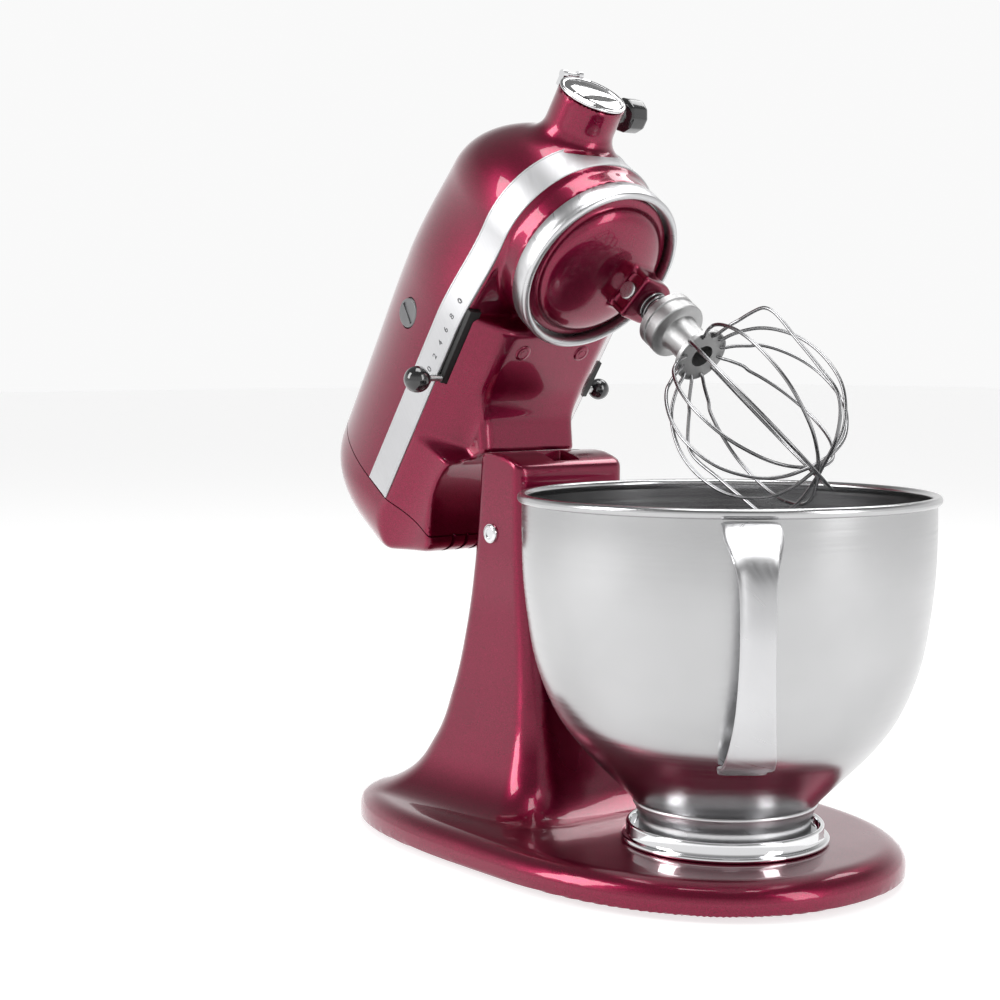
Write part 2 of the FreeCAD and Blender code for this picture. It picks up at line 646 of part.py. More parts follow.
keep(cut(cut(fuse(cover, knuckle, tab), cylinder("1.25+running_gap", 20,
                                                (FRONT - 1.6, -10, KNUCKLE_Z), (0, 1, 0))),
         box(1.2, 22, 3.4, (FRONT - 1.0, -11, HUB - 9))), "hub_cover", TILT)
ears = []
for y in (-7.2, 4.2):
    ear = fuse(cylinder(2.4, 3, (FRONT - 1.6, y, KNUCKLE_Z), (0, 1, 0)),
               box(7, 3, 3.8, (FRONT - 8.6, y, KNUCKLE_Z - 2.4)),
               box(6, 3, 6, (FRONT - 9.6, y, KNUCKLE_Z - 7)))
    ear = cut(ear, cylinder("hub_radius", 30, (FRONT - 30, 0, HUB), (1, 0, 0)))
    ears.append(cut(ear, cylinder(1.25, 20, (FRONT - 1.6, -10, KNUCKLE_Z), (0, 1, 0))))
keep(group(*ears), "hub_cover_ears", TILT)
keep(cylinder(1.25, 14.4, (FRONT - 1.6, -7.2, KNUCKLE_Z), (0, 1, 0)), "hub_cover_pin", TILT)
knob = Part.makeCylinder(10, 13, Vector(66, 27, HUB), Vector(0, 1, 0))
grip_cuts = []
for index in range(8):
    angle = math.radians(45 * index)
    middle = Vector(66 + 12.6 * math.cos(angle), 25, HUB + 12.6 * math.sin(angle))
    grip_cuts.append(Part.makeCylinder(4, 20, middle, Vector(0, 1, 0)))
knob = knob.cut(grip_cuts).fuse(y_rod(6, 66, HUB, 22, 27))
knob = knob.cut(y_rod(3, 66, HUB, 20, 36))
keep(free(knob, "hub_knob"), "hub_knob", TILT)
keep(cylinder(3, 22.8, (66, 13.2, HUB), (0, 1, 0)), "hub_knob_screw", TILT)

# ------------------------------------------------------------------ stand

FLOOR = size("base_floor")


def footprint(height, inset):
    """The base's plan: a blunt oval front and a squarer rear, both superellipses."""
    points = []
    steps = 40
    for step in range(steps):
        angle = 2 * math.pi * step / steps
        c, s = math.cos(angle), math.sin(angle)
        reach, power = (151.0, 2.3) if c >= 0 else (190.0, 3.2)
        x = math.copysign(abs(c) ** (2 / power), c) * (reach - inset)
        y = math.copysign(abs(s) ** (2 / power), s) * (110.0 - inset)
        points.append(Vector(-60 + x, y, height))
    curve = Part.BSplineCurve()
    curve.interpolate(points, True)
    return Part.Wire(curve.toShape())


def column_section(height, rear_x, front_x, half, corner):
    """A rectangle with round corners, one level of the column."""
    turn = corner * (1 - math.sqrt(0.5))
    corners = [(front_x, half), (rear_x, half), (rear_x, -half), (front_x, -half)]
    wire = []
    for x, y in corners:
        sx, sy = (-1 if x == front_x else 1), (-1 if y > 0 else 1)
        before, after = Vector(x, y + sy * corner, height), Vector(x + sx * corner, y, height)
        if (x == rear_x) == (y > 0):
            before, after = after, before
        wire += [before, ("arc", Vector(x + sx * turn, y + sy * turn, height)), after]
    return Part.Wire(outline(wire))


HALF = size("column_half")
LEVELS = [(15, -238, -66, 80, 34), (30, -213, -86, 64, 24), (50, -198, -97, 54, 18),
          (80, -186, -106, 47, 13), (120, -176, -116, 42, 9), (165, -168, -123, HALF, 6),
          (224, -162, -125, HALF, 6)]


def column(inset, levels):
    wires = [column_section(z, rear_x + inset, front_x - inset, half - inset,
                            max(corner - inset * 0.5, 2))
             for z, rear_x, front_x, half, corner in levels]
    return Part.makeLoft(wires, True, False)


def plate(inset, low, high):
    middle = high - 9
    levels = [footprint(low, inset), footprint(middle, inset), footprint(high - 3, inset + 4),
              footprint(high, inset + 12)]
    body = Part.makeLoft(levels[:2], True, True)
    return body.fuse(Part.makeLoft(levels[1:], True, True))


top_round = Part.makeCylinder(size("column_top_radius"), 200, Vector(HX, -100, HZ), Vector(0, 1, 0))
keep_top = top_round.fuse(Part.makeBox(400, 300, HZ, Vector(-300, -150, 0)))
stand = plate(0, FLOOR, size("base_height")).fuse(column(0, LEVELS)).common(keep_top)
stand = stand.cut(plate(5, -9, size("base_height") - 4.5)).cut(column(5, LEVELS[:5]))
lug_slots = [Part.makeBox(60, 11.8, 80, Vector(-194, middle - 5.9, 155)) for middle in (-20, 20)]
lug_slots += [Part.makeCylinder(15, 11.8, Vector(HX, middle - 5.9, HZ), Vector(0, 1, 0))
              for middle in (-20, 20)]
stand = stand.cut(lug_slots).cut(y_rod(size("pin_radius"), HX, HZ, -60, 60))
stand = stand.cut(Part.makeBox(18, 20, 40, Vector(-148, -10, 203)))
POSTS = [(32 * math.cos(a), 32 * math.sin(a)) for a in (math.pi / 3, math.pi, -math.pi / 3)]
FEET = [(68, 0), (-30, 84), (-30, -84), (-205, 62), (-205, -62)]
pads = [Part.makeCylinder(11, 12, Vector(x, y, FLOOR)) for x, y in FEET]
posts = [Part.makeCylinder(6, 14, Vector(x, y, FLOOR + 1)) for x, y in POSTS]
stand = stand.fuse([pad.common(plate(0, FLOOR, size("base_height"))) for pad in pads] + posts)
stand = stand.cut([Part.makeCylinder(2, 20, Vector(x, y, 6)) for x, y in POSTS])
keep(free(stand, "base_casting"), "base_casting", SHIFT)
keep(group(*[cylinder(10, "base_floor", (x, y, 0)) for x, y in FEET]), "rubber_feet", SHIFT)
keep(turned("hinge_pin", [(0, -41), (5.5, -41), ("pin_radius", -40), ("pin_radius", 40),
                          (0, 40)], (HX, 0, HZ), (0, 1, 0)), "hinge_pin", SHIFT)

PLATE_TOP = 22.0
clamp = turned("clamp", [(0, "base_height"), ("clamp_radius", "base_height"),
                         ("clamp_radius", "base_height+1.4"), ("clamp_radius-2", PLATE_TOP),
                         (51.5, PLATE_TOP), (51.5, 29), (49, 29), (49, PLATE_TOP), (0, PLATE_TOP)])
hooks = []
for middle in (60, 180, 300):
    hook = Part.makeCylinder(49.2, 2.0, Vector(0, 0, 27), UP, 30)
    hook = hook.cut(Part.makeCylinder(46.6, 10, Vector(0, 0, 24)))
    hook.rotate(Vector(), UP, middle - 15)
    hooks.append(hook)
clamp_body = fuse(clamp, *[free(hook, "hook") for hook in hooks])
heads = [cone(1.5, 3.8, 2.3, (x, y, PLATE_TOP - 2.3)) for x, y in POSTS]
keep(cut(cut(clamp_body, fuse(*heads)), fuse(*[cylinder(1.5, 10, (x, y, 15)) for x, y in POSTS])),
     "bowl_clamp_plate", SHIFT)
keep(group(*[turned("clamp_screw", [(0, 8), (1.5, 8), (1.5, PLATE_TOP - 2.3),
                                    (3.8, PLATE_TOP), (0, PLATE_TOP)], (x, y, 0))
             for x, y in POSTS]), "clamp_plate_screws", SHIFT)

# ------------------------------------------------------------------ bowl

RIM, RIM_Z, BOWL_WALL = size("bowl_rim_radius"), size("bowl_rim_height"), size("bowl_wall")


def bowl_outline(inset):
    """The bowl's side from rim to foot: a nearly straight wall, then a deep round bottom."""
    return [Vector(RIM - inset, 0, RIM_Z), ("arc", Vector(107.6 - inset, 0, 160)),
            Vector(101 - inset, 0, 115 + inset * 0.3), ("arc", Vector(80 - inset * 0.8, 0, 73 + inset)),
            Vector(46 - inset * 0.5, 0, 36 + inset), Vector(0, 0, 33 + inset)]


def turned_face(edges):
    return Part.Face(Part.Wire(edges)).revolve(Vector(), UP, 360)


def bowl_volume(inset, lift):
    corner = Vector(0, 0, RIM_Z + lift)
    side = bowl_outline(inset)
    if lift:
        side = [Vector(side[0].x, 0, RIM_Z + lift)] + side
    return turned_face(outline(side + [corner]))


bead = Part.makeTorus(RIM - 0.6, size("bead_radius"), Vector(0, 0, RIM_Z))
bead_room = Part.makeCylinder(RIM - BOWL_WALL, 20, Vector(0, 0, RIM_Z - 10))
bowl = bowl_volume(0.0, 0.0).fuse(bead.cut(bead_room)).cut(bowl_volume(BOWL_WALL, 9.0))
keep(free(bowl, "bowl_shell"), "bowl_shell", SHIFT)
foot = turned_face([edge for edge in outline([
    Vector(38, 0, PLATE_TOP + 0.3), Vector(45.8, 0, PLATE_TOP + 0.3), Vector(45.8, 0, 30),
    ("arc", Vector(44.6, 0, 34)), Vector(48.5, 0, 40), Vector(47, 0, 42), Vector(38, 0, 36)])])
foot_lugs = []
for middle in (60, 180, 300):
    lug = Part.makeCylinder(48.7, 2.6, Vector(0, 0, PLATE_TOP + 1), UP, 26)
    lug = lug.cut(Part.makeCylinder(45, 10, Vector(0, 0, PLATE_TOP)))
    lug.rotate(Vector(), UP, middle - 13)
    foot_lugs.append(lug)
keep(free(foot.fuse(foot_lugs).cut(bowl_volume(0.0, 0.0)), "bowl_foot"), "bowl_foot", SHIFT)

STRAP = [(109.4, 196), (124, 190), (139, 177), (143.5, 150), (138, 115), (123, 89), (104, 78),
         (84, 74)]


def strap_curve(offset):
    points = []
    for index, (r, z) in enumerate(STRAP):
        before = STRAP[max(index - 1, 0)]
        after = STRAP[min(index + 1, len(STRAP) - 1)]
        run = math.hypot(after[0] - before[0], after[1] - before[1])
        points.append(Vector(r - offset * (after[1] - before[1]) / run, 0,
                             z + offset * (after[0] - before[0]) / run))
    curve = Part.BSplineCurve()
    curve.interpolate(points)
    return curve


strap_out, strap_in = strap_curve(1.5), strap_curve(-1.5)
ends = [Part.LineSegment(strap_out.EndPoint, strap_in.EndPoint).toShape(),
        Part.LineSegment(strap_in.StartPoint, strap_out.StartPoint).toShape()]
strap = Part.Face(Part.Wire([strap_out.toShape(), ends[0], strap_in.toShape(), ends[1]]))
strap = strap.extrude(Vector(0, 28, 0)).translated(Vector(0, -14, 0))
strap_pads = Part.makeBox(6, 28, 14, Vector(106, -14, 186)).fuse(
    Part.makeBox(14, 24, 12, Vector(76, -12, 68)))
handle = strap.fuse(strap_pads).cut(bowl_volume(0.0, 0.0))
handle = handle.cut(Part.makeTorus(RIM - 0.6, size("bead_radius") + 0.2, Vector(0, 0, RIM_Z)))
handle.rotate(Vector(), UP, -39.5)
keep(free(handle, "bowl_handle"), "bowl_handle", SHIFT)

# ------------------------------------------------------------------ check and export

doc.recompute()
for item in doc.Objects:
    if "Invalid" in item.State or "Error" in item.State:
        raise RuntimeError("%s failed: %s" % (item.Name, item.State))
os.makedirs("parts", exist_ok=True)
for piece in pieces:
    if piece.Shape.isNull() or not piece.Shape.isValid():
        raise RuntimeError("%s has no valid shape" % piece.Label)
    piece.Shape.exportStep("parts/%s.step" % piece.Label)
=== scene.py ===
"""A tilt-head stand mixer: enamelled castings, steel bowl and wire whisk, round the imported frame.

The head is drawn level and closed, in millimetres, with the bowl's axis at X 0. HEAD lifts it to
its rest pose, and STAND only moves the drawing to the frame's origin.
"""
import json
import math

import bmesh
import bpy
import numpy as np
from mathutils import Matrix, Vector


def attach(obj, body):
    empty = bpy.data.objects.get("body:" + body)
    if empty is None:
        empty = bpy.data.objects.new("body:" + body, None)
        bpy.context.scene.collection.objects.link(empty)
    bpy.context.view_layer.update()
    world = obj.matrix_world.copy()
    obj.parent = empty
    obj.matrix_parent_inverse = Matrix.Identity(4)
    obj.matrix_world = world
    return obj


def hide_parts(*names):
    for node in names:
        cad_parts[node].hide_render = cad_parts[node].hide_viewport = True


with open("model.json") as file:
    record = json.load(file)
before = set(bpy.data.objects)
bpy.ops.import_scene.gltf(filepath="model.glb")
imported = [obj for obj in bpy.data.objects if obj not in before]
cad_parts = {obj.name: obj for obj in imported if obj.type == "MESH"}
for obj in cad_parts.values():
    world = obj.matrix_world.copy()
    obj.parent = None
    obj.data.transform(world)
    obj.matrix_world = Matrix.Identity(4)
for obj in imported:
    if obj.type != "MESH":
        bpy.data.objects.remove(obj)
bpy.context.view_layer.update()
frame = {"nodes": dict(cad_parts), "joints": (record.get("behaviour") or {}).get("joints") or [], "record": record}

JOINTS = {joint["name"]: joint for joint in frame["joints"]}
MM = 0.001

# ------------------------------------------------------------------ the drawing's own frame

bowl_x = JOINTS["bowl_twist"]["pos_m"][0]
hinge = Vector(JOINTS["head_tilt"]["pos_m"])
tilt = math.radians(-JOINTS["head_tilt"]["range_deg"][0])
STAND = Matrix.Translation((bowl_x, 0, 0)) @ Matrix.Scale(MM, 4)
HEAD = (Matrix.Translation(hinge) @ Matrix.Rotation(-tilt, 4, "Y")
        @ Matrix.Translation(-hinge) @ STAND)
HX, HZ = (hinge.x - bowl_x) / MM, hinge.z / MM

# ------------------------------------------------------------------ sizes in millimetres

HALF, NOSE = 59.5, 52.5                      # the head's half-width and nose radius
BAND_LOW, BAND_HIGH = 245.5, 266.5
REAR_END, REAR_SEAM, BAND_END = -224.5, -182.0, -181.0
SEAM = 256.0
RECESS = 47.5                                # the head's hollow that turns round the column's top
DRUM, TRIM_LOW, TRIM_HIGH = 51.0, 217.4, 230.4
HUB_Z, HUB_FRONT, HUB_RADIUS = 282.0, 78.0, 20.0
ORBIT, PLANET_TURN = 30.0, math.radians(107)
BX, BY = ORBIT * math.cos(PLANET_TURN), ORBIT * math.sin(PLANET_TURN)
BASE_TOP, RUBBER = 19.0, 3.0
RIM, RIM_Z = 108.6, 201.0
HANDLE_TURN = math.radians(-39.5)
COLUMN_SIDE = 40.0                           # from the middle to the column's side at the hinge
CAP_X, MOTOR_Z, CAP_SIDE = -79, 292, 56.2    # the brush caps lie level with the motor's axis
SLOT_LOW, SLOT_HIGH = 241.3, 246.6           # the levers' slots, just under the band
LEVER_Z = 243.8
DISH_RIM, DISH_FACE, DISH_TOP = 45.6, 222.3, 227
MOUND_RADIUS, MOUND_DEPTH = 40.5, 11.5
BOSS_RADIUS, BOSS_BACK, BOSS_LOW = 13.4, 16.5, 199
BASE_MIDDLE, BASE_FRONT, BASE_BACK, BASE_SIDE = -60, 151.0, 190.0, 110

# ------------------------------------------------------------------ fields and the skins on them


def ease(t):
    t = np.clip(t, 0, 1)
    return t * t * (3 - 2 * t)


def merge(a, b, blend):
    """Two forms as one, with a fillet where they meet."""
    share = np.clip(0.5 + 0.5 * (b - a) / blend, 0, 1)
    return b + (a - b) * share - blend * share * (1 - share)


def within(a, b, blend):
    """What two forms have in common, with a round edge where they meet."""
    return -merge(-a, -b, blend)


def through(x, stations, values):
    """A smooth curve through values at stations, flat slopes carried past the ends."""
    stations, values = np.array(stations, float), np.array(values, float)
    slopes = np.gradient(values, stations)
    x = np.clip(x, stations[0], stations[-1])
    index = np.clip(np.searchsorted(stations, x) - 1, 0, len(stations) - 2)
    gap = stations[index + 1] - stations[index]
    t = (x - stations[index]) / gap
    return (values[index] * (1 + 2 * t) * (1 - t) ** 2 + slopes[index] * gap * t * (1 - t) ** 2
            + values[index + 1] * t * t * (3 - 2 * t) + slopes[index + 1] * gap * t * t * (t - 1))


def skin(field, low, high, step):
    """Vertices and quads of the closed surface where field is zero: negative is inside."""
    axes = [np.arange(a - 2 * step, b + 3 * step, step) for a, b in zip(low, high)]
    values = field(*np.meshgrid(*axes, indexing="ij"))
    inside = values < 0
    cells = tuple(n - 1 for n in values.shape)
    total, number, loops = np.zeros((np.prod(cells), 3)), np.zeros(np.prod(cells)), []
    for axis in range(3):
        first = [slice(None)] * 3
        second = [slice(None)] * 3
        first[axis], second[axis] = slice(0, -1), slice(1, None)
        f0, f1 = values[tuple(first)], values[tuple(second)]
        crossing = np.argwhere((f0 < 0) != (f1 < 0))
        here = tuple(crossing.T)
        points = crossing.astype(float)
        points[:, axis] += f0[here] / (f0[here] - f1[here])
        u, v = (axis + 1) % 3, (axis + 2) % 3
        ring = []
        for du, dv in ((1, 1), (0, 1), (0, 0), (1, 0)):
            cell = crossing.copy()
            cell[:, u] -= du
            cell[:, v] -= dv
            flat = np.ravel_multi_index(tuple(cell.T), cells)
            number += np.bincount(flat, minlength=len(number))
            for k in range(3):
                total[:, k] += np.bincount(flat, points[:, k], len(number))
            ring.append(flat)
        ring = np.stack(ring, 1)
        outward = inside[here]
        ring[~outward] = ring[~outward][:, ::-1]
        loops.append(ring)
    used = number > 0
    names = np.cumsum(used) - 1
    points = total[used] / number[used][:, None] * step + [axis[0] for axis in axes]
    for _ in range(3):
        reach = 0.15 * step
        slope = np.stack([(field(*(points + d).T) - field(*(points - d).T)) / (2 * reach)
                          for d in np.eye(3) * reach], 1)
        move = slope * (field(*points.T) / np.maximum((slope ** 2).sum(1), 0.3))[:, None]
        points -= np.clip(move, -step, step)
    return points, names[np.concatenate(loops)]


# ------------------------------------------------------------------ making pieces

scene = bpy.context.scene
materials = {}


def finish_piece(obj, body, finish, replaced=(), sharp=None):
    """Smooth shading, a material, and the bonds to the frame."""
    if obj.type == "MESH":
        obj.data.materials.clear()
        obj.data.shade_smooth()
        if sharp:
            obj.data.set_sharp_from_angle(angle=math.radians(sharp))
    obj.data.materials.append(materials[finish])
    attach(obj, body)
    if replaced:
        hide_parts(*replaced)
    return obj


def mesh_object(name, vertices, faces, place):
    """A mesh object in the scene, its points moved by place."""
    mesh = bpy.data.meshes.new(name)
    mesh.from_pydata([tuple(v) for v in vertices], [], [tuple(map(int, f)) for f in faces])
    mesh.transform(place)
    mesh.update()
    obj = bpy.data.objects.new(name, mesh)
    scene.collection.objects.link(obj)
    return obj


def settle(obj):
    """The object with its modifiers applied."""
    graph = bpy.context.evaluated_depsgraph_get()
    graph.update()
    mesh = bpy.data.meshes.new_from_object(obj.evaluated_get(graph))
    obj.modifiers.clear()
    obj.data = mesh
    return obj


def carve(obj, *cutters):
    """Takes solids out of obj, and the solids away."""
    for cutter in cutters:
        step = obj.modifiers.new("carve", "BOOLEAN")
        step.operation, step.solver, step.object = "DIFFERENCE", "EXACT", cutter
    settle(obj)
    for cutter in cutters:
        bpy.data.objects.remove(cutter)
    return obj


def part_of(vertices, faces, name, place, planes):
    """The side of each plane (point, outward normal) that a skin keeps, closed with flat faces."""
    obj = mesh_object(name, vertices, faces, Matrix())
    form = bmesh.new()
    form.from_mesh(obj.data)
    for point, normal in planes:
        geometry = form.verts[:] + form.edges[:] + form.faces[:]
        made = bmesh.ops.bisect_plane(form, geom=geometry, plane_co=point, plane_no=normal,
                                      clear_outer=True, dist=1e-5)
        edges = [e for e in made["geom_cut"] if isinstance(e, bmesh.types.BMEdge)]
        bmesh.ops.holes_fill(form, edges=edges, sides=0)
    form.to_mesh(obj.data)
    form.free()
    obj.data.transform(place)
    obj.data.update()
    return obj


DIRECTIONS = {"Z": (0, 0, 1), "X": (1, 0, 0), "Y": (0, 1, 0), "-Y": (0, -1, 0)}


def lathe(name, profile, place, segments=96, along="Z", at=(0, 0, 0)):
    """A closed (radius, height) profile turned about an axis through at; radius 0 closes it."""
    vertices, faces, rings = [], [], []
    for radius, height in profile:
        if radius < 1e-6:
            rings.append([len(vertices)])
            vertices.append((0, 0, height))
            continue
        rings.append(list(range(len(vertices), len(vertices) + segments)))
        for k in range(segments):
            a = 2 * math.pi * k / segments
            vertices.append((radius * math.cos(a), radius * math.sin(a), height))
    pairs = list(zip(rings, rings[1:]))
    if len(rings[0]) > 1:
        pairs.append((rings[-1], rings[0]))
    for lower, upper in pairs:
        for k in range(segments):
            n = (k + 1) % segments
            face = [lower[k % len(lower)], lower[n % len(lower)],
                    upper[n % len(upper)], upper[k % len(upper)]]
            face = list(dict.fromkeys(face))
            if len(face) > 2:
                faces.append(face)
    turn = Vector(DIRECTIONS.get(along, along)).to_track_quat("Z", "Y").to_matrix().to_4x4()
    obj = mesh_object(name, vertices, faces, place @ Matrix.Translation(at) @ turn)
    outward(obj)
    return obj


def outward(obj):
    """Turns the faces' normals outward."""
    form = bmesh.new()
    form.from_mesh(obj.data)
    bmesh.ops.recalc_face_normals(form, faces=form.faces)
    form.to_mesh(obj.data)
    form.free()


def arc(centre, radius, start, end, steps=6):
    """Points of a profile along a round, angles in degrees."""
    return [(centre[0] + radius * math.cos(math.radians(start + (end - start) * k / steps)),
             centre[1] + radius * math.sin(math.radians(start + (end - start) * k / steps)))
            for k in range(steps + 1)]


def block(name, low, high, place, round_by=0.0):
    """A box with round edges."""
    form = bmesh.new()
    bmesh.ops.create_cube(form, size=1)
    for v in form.verts:
        v.co = [a + (b - a) * (c + 0.5) for a, b, c in zip(low, high, v.co)]
    if round_by:
        bmesh.ops.bevel(form, geom=form.edges[:], offset=round_by, segments=4, profile=0.5,
                        affect="EDGES")
    mesh = bpy.data.meshes.new(name)
    form.to_mesh(mesh)
    form.free()
    mesh.transform(place)
    obj = bpy.data.objects.new(name, mesh)
    scene.collection.objects.link(obj)
    return obj


def rod(name, points, radius, place, resolution=6):
    """A round wire along a smooth NURBS line."""
    curve = bpy.data.curves.new(name, "CURVE")
    curve.dimensions = "3D"
    line = curve.splines.new("NURBS")
    line.points.add(len(points) - 1)
    for point, at in zip(line.points, points):
        point.co = (*(place @ Vector(at)), 1)
    line.order_u = 4
    line.use_endpoint_u = True
    line.resolution_u = resolution
    curve.bevel_depth = radius * MM
    curve.bevel_resolution = 5
    curve.use_fill_caps = True
    obj = bpy.data.objects.new(name, curve)
    scene.collection.objects.link(obj)
    return obj


# ------------------------------------------------------------------ materials

class Nodes:
    """A material's node tree with its shader, and the few moves that the finishes share."""

    def __init__(self, name):
        self.material = bpy.data.materials.new(name)
        self.material.use_nodes = True
        self.tree = self.material.node_tree
        self.shader = self.tree.nodes["Principled BSDF"]
        materials[name] = self.material

    def set(self, **values):
        for key, value in values.items():
            self.shader.inputs[key.replace("_", " ").title().replace("Ior", "IOR")].default_value = value
        return self

    def add(self, kind, **values):
        node = self.tree.nodes.new(kind)
        for key, value in values.items():
            node.inputs[key].default_value = value
        return node

    def place(self, stretch=(1, 1, 1), turn=0.0):
        """Object coordinates, turned about Y and stretched."""
        where = self.tree.nodes.new("ShaderNodeTexCoord")
        mapping = self.tree.nodes.new("ShaderNodeMapping")
        mapping.vector_type = "TEXTURE"
        mapping.inputs["Rotation"].default_value = (0, turn, 0)
        mapping.inputs["Scale"].default_value = stretch
        self.link(where.outputs["Object"], mapping.inputs["Vector"])
        return mapping.outputs["Vector"]

    def noise(self, coordinates, scale, detail=3.0, rough=0.5):
        node = self.add("ShaderNodeTexNoise", Scale=scale, Detail=detail, Roughness=rough)
        self.link(coordinates, node.inputs["Vector"])
        return node.outputs["Fac"]

    def ramp(self, value, low, high, start=0.3, end=0.7):
        node = self.tree.nodes.new("ShaderNodeValToRGB")
        node.color_ramp.elements[0].position, node.color_ramp.elements[1].position = start, end
        node.color_ramp.elements[0].color, node.color_ramp.elements[1].color = low, high
        self.link(value, node.inputs["Fac"])
        return node.outputs["Color"]

    def bump(self, value, strength, distance):
        node = self.add("ShaderNodeBump", Strength=strength, Distance=distance)
        self.link(value, node.inputs["Height"])
        self.link(node.outputs["Normal"], self.shader.inputs["Normal"])

    def link(self, out, into):
        self.tree.links.new(out, into)

    def drive(self, hollow_shade, output):
        self.link(output, self.shader.inputs[hollow_shade])


def grey(value):
    """An opaque grey."""
    return (value, value, value, 1)


def enamel(name, deep, bright):
    """Metallic lacquer under a clear coat: fine flake in the colour, faint orange peel on top."""
    n = Nodes(name).set(metallic=0.82, roughness=0.30, coat_weight=1.0, coat_roughness=0.035,
                        coat_ior=1.40)
    where = n.place()
    n.drive("Base Color", n.ramp(n.noise(where, 2600, 2.0, 0.7), deep, bright, 0.35, 0.65))
    n.drive("Roughness", n.ramp(n.noise(where, 18, 4.0), grey(0.25), grey(0.34)))
    n.bump(n.noise(where, 240, 1.0), 0.02, 0.0004)


def metal(name, colour, rough, stretch, scale=300.0, spread=0.06, bump=0.05, turn=0.0,
          anisotropic=0.0):
    """Metal whose brushing or polish marks run the way that stretch draws them out."""
    n = Nodes(name).set(metallic=1.0, anisotropic=anisotropic)
    lines = n.noise(n.place(stretch, turn), scale, 4.0, 0.65)
    smears = n.noise(n.place(), 14, 3.0)
    low, high = (tuple(c * k for c in colour) + (1,) for k in (0.90, 1.0))
    n.drive("Base Color", n.ramp(smears, low, high))
    n.drive("Roughness", n.ramp(lines, grey(rough - spread / 2), grey(rough + spread)))
    n.bump(lines, bump, 0.0002)


def plastic(name, colour, rough, bump=0.03, scale=900.0, coat=0.0):
    """Moulded plastic or rubber, faintly mottled and grained."""
    n = Nodes(name).set(roughness=rough, coat_weight=coat, coat_roughness=0.05)
    where = n.place()
    low, high = (tuple(c * k for c in colour) + (1,) for k in (0.8, 1.15))
    n.drive("Base Color", n.ramp(n.noise(where, 40, 4.0), low, high))
    n.drive("Roughness", n.ramp(n.noise(where, 60, 5.0), grey(rough * 0.85), grey(rough * 1.2)))
    n.bump(n.noise(where, scale, 3.0), bump, 0.0003)


enamel("paint", (0.105, 0.0004, 0.014, 1), (0.290, 0.0010, 0.046, 1))
metal("silver_trim", (0.52, 0.52, 0.53), 0.46, (14, 14, 0.35), 260, 0.10, 0.05, tilt)
metal("chrome", (0.78, 0.78, 0.79), 0.05, (1, 1, 1), 90, 0.03, 0.01)
metal("satin_chrome", (0.62, 0.62, 0.63), 0.30, (10, 10, 0.4), 300, 0.08, 0.02, tilt)
metal("polished_steel", (0.52, 0.52, 0.525), 0.20, (12, 12, 0.25), 160, 0.05, 0.03,
      anisotropic=0.3)
metal("wire_steel", (0.27, 0.27, 0.275), 0.20, (1, 1, 1), 500, 0.08, 0.03)
metal("cast_aluminium", (0.42, 0.42, 0.42), 0.40, (1, 1, 1), 700, 0.12, 0.16)
metal("steel", (0.55, 0.55, 0.55), 0.28, (1, 1, 1), 400, 0.12, 0.08)
metal("bronze", (0.60, 0.42, 0.20), 0.35, (1, 1, 1), 400, 0.12, 0.08)
metal("copper", (0.70, 0.33, 0.17), 0.30, (1, 1, 1), 500, 0.12, 0.08)
plastic("black_plastic", (0.012, 0.012, 0.013), 0.12, 0.01, 400, 0.8)
plastic("black_rubber", (0.02, 0.02, 0.02), 0.75, 0.15)
plastic("carbon", (0.04, 0.04, 0.04), 0.7, 0.10)
plastic("fan_plastic", (0.09, 0.09, 0.09), 0.5)
plastic("cap_plastic", (0.16, 0.16, 0.165), 0.32, 0.05)
plastic("ink", (0.03, 0.03, 0.035), 0.5)
# socket_dark also colours painted shade: the sheets at the levers' slot floors and the discs in the pin ends'
# hollows.
plastic("socket_dark", (0.008, 0.008, 0.008), 0.5)

slots = {part["node"]: part["material_slot"] for part in frame["record"]["subparts"]}
for name, node in frame["nodes"].items():
    for material_slot in node.material_slots:
        material_slot.material = materials[slots[name]]

# ------------------------------------------------------------------ the head's castings


def half_width(x):
    """Half the head's width in plan, behind the nose's centre."""
    return NOSE + (HALF - NOSE) * ease(-x / 62)


CROWN_X = [-230, -190, -130, -70, -20, 20, 60]
CROWN_Z = [343, 345, 348.5, 352, 351, 344, 328]


def head_field(x, y, z):
    """The whole head: crown, belly, gear drum, rear and the hub's neck, less the hinge recess."""
    stretch = HALF / half_width(np.minimum(x, 0))
    behind = np.maximum(-188 - x, 0) * HALF / 42
    q = np.hypot(np.abs(y), np.maximum(x, 0)) * stretch
    q = (q ** 2.5 + behind ** 2.5) ** (1 / 2.5)
    top = through(x, CROWN_X, CROWN_Z)
    rise = np.maximum(z - BAND_HIGH, 0) / (top - BAND_HIGH)
    crown = (((q / HALF) ** 2.15 + rise ** 2.15) ** (1 / 2.15) - 1) * HALF
    shoulder = 35 + 15 * ease((-128 - x) / 8)
    slope = (HALF - shoulder) / 19.5
    half = -merge(-shoulder, -(HALF + slope * (z - BAND_LOW)), 5.0)
    belly = (np.abs(y) - half) / np.hypot(1, slope)
    form = within(crown, belly, 1.5)
    ahead = ((x + 100) * 22 - (z - 227) * 26) / 34.06
    under = merge(227 - z, ahead, 9.0)
    form = within(form, within(under, 205 - z, 4.0), 4.0)
    form = within(form, (-(x + 221) * 41 - (z - 246) * 30) / 50.8, 5.0)
    form = within(form, REAR_END - x, 4.0)
    form = within(form, belly_front(x, z), 4.0)
    drum = np.maximum(np.hypot(x, y) - DRUM, TRIM_HIGH - z)
    form = merge(form, np.maximum(drum, z - 262), 4.0)
    reach = np.hypot(y, z - HUB_Z)
    neck = within(reach - HUB_RADIUS, np.maximum(x - (HUB_FRONT - 3), 20 - x), 1.2)
    form = merge(form, neck, 10.0)
    hollow = RECESS - np.hypot(x - HX, z - HZ)
    return within(form, hollow, 2.0)


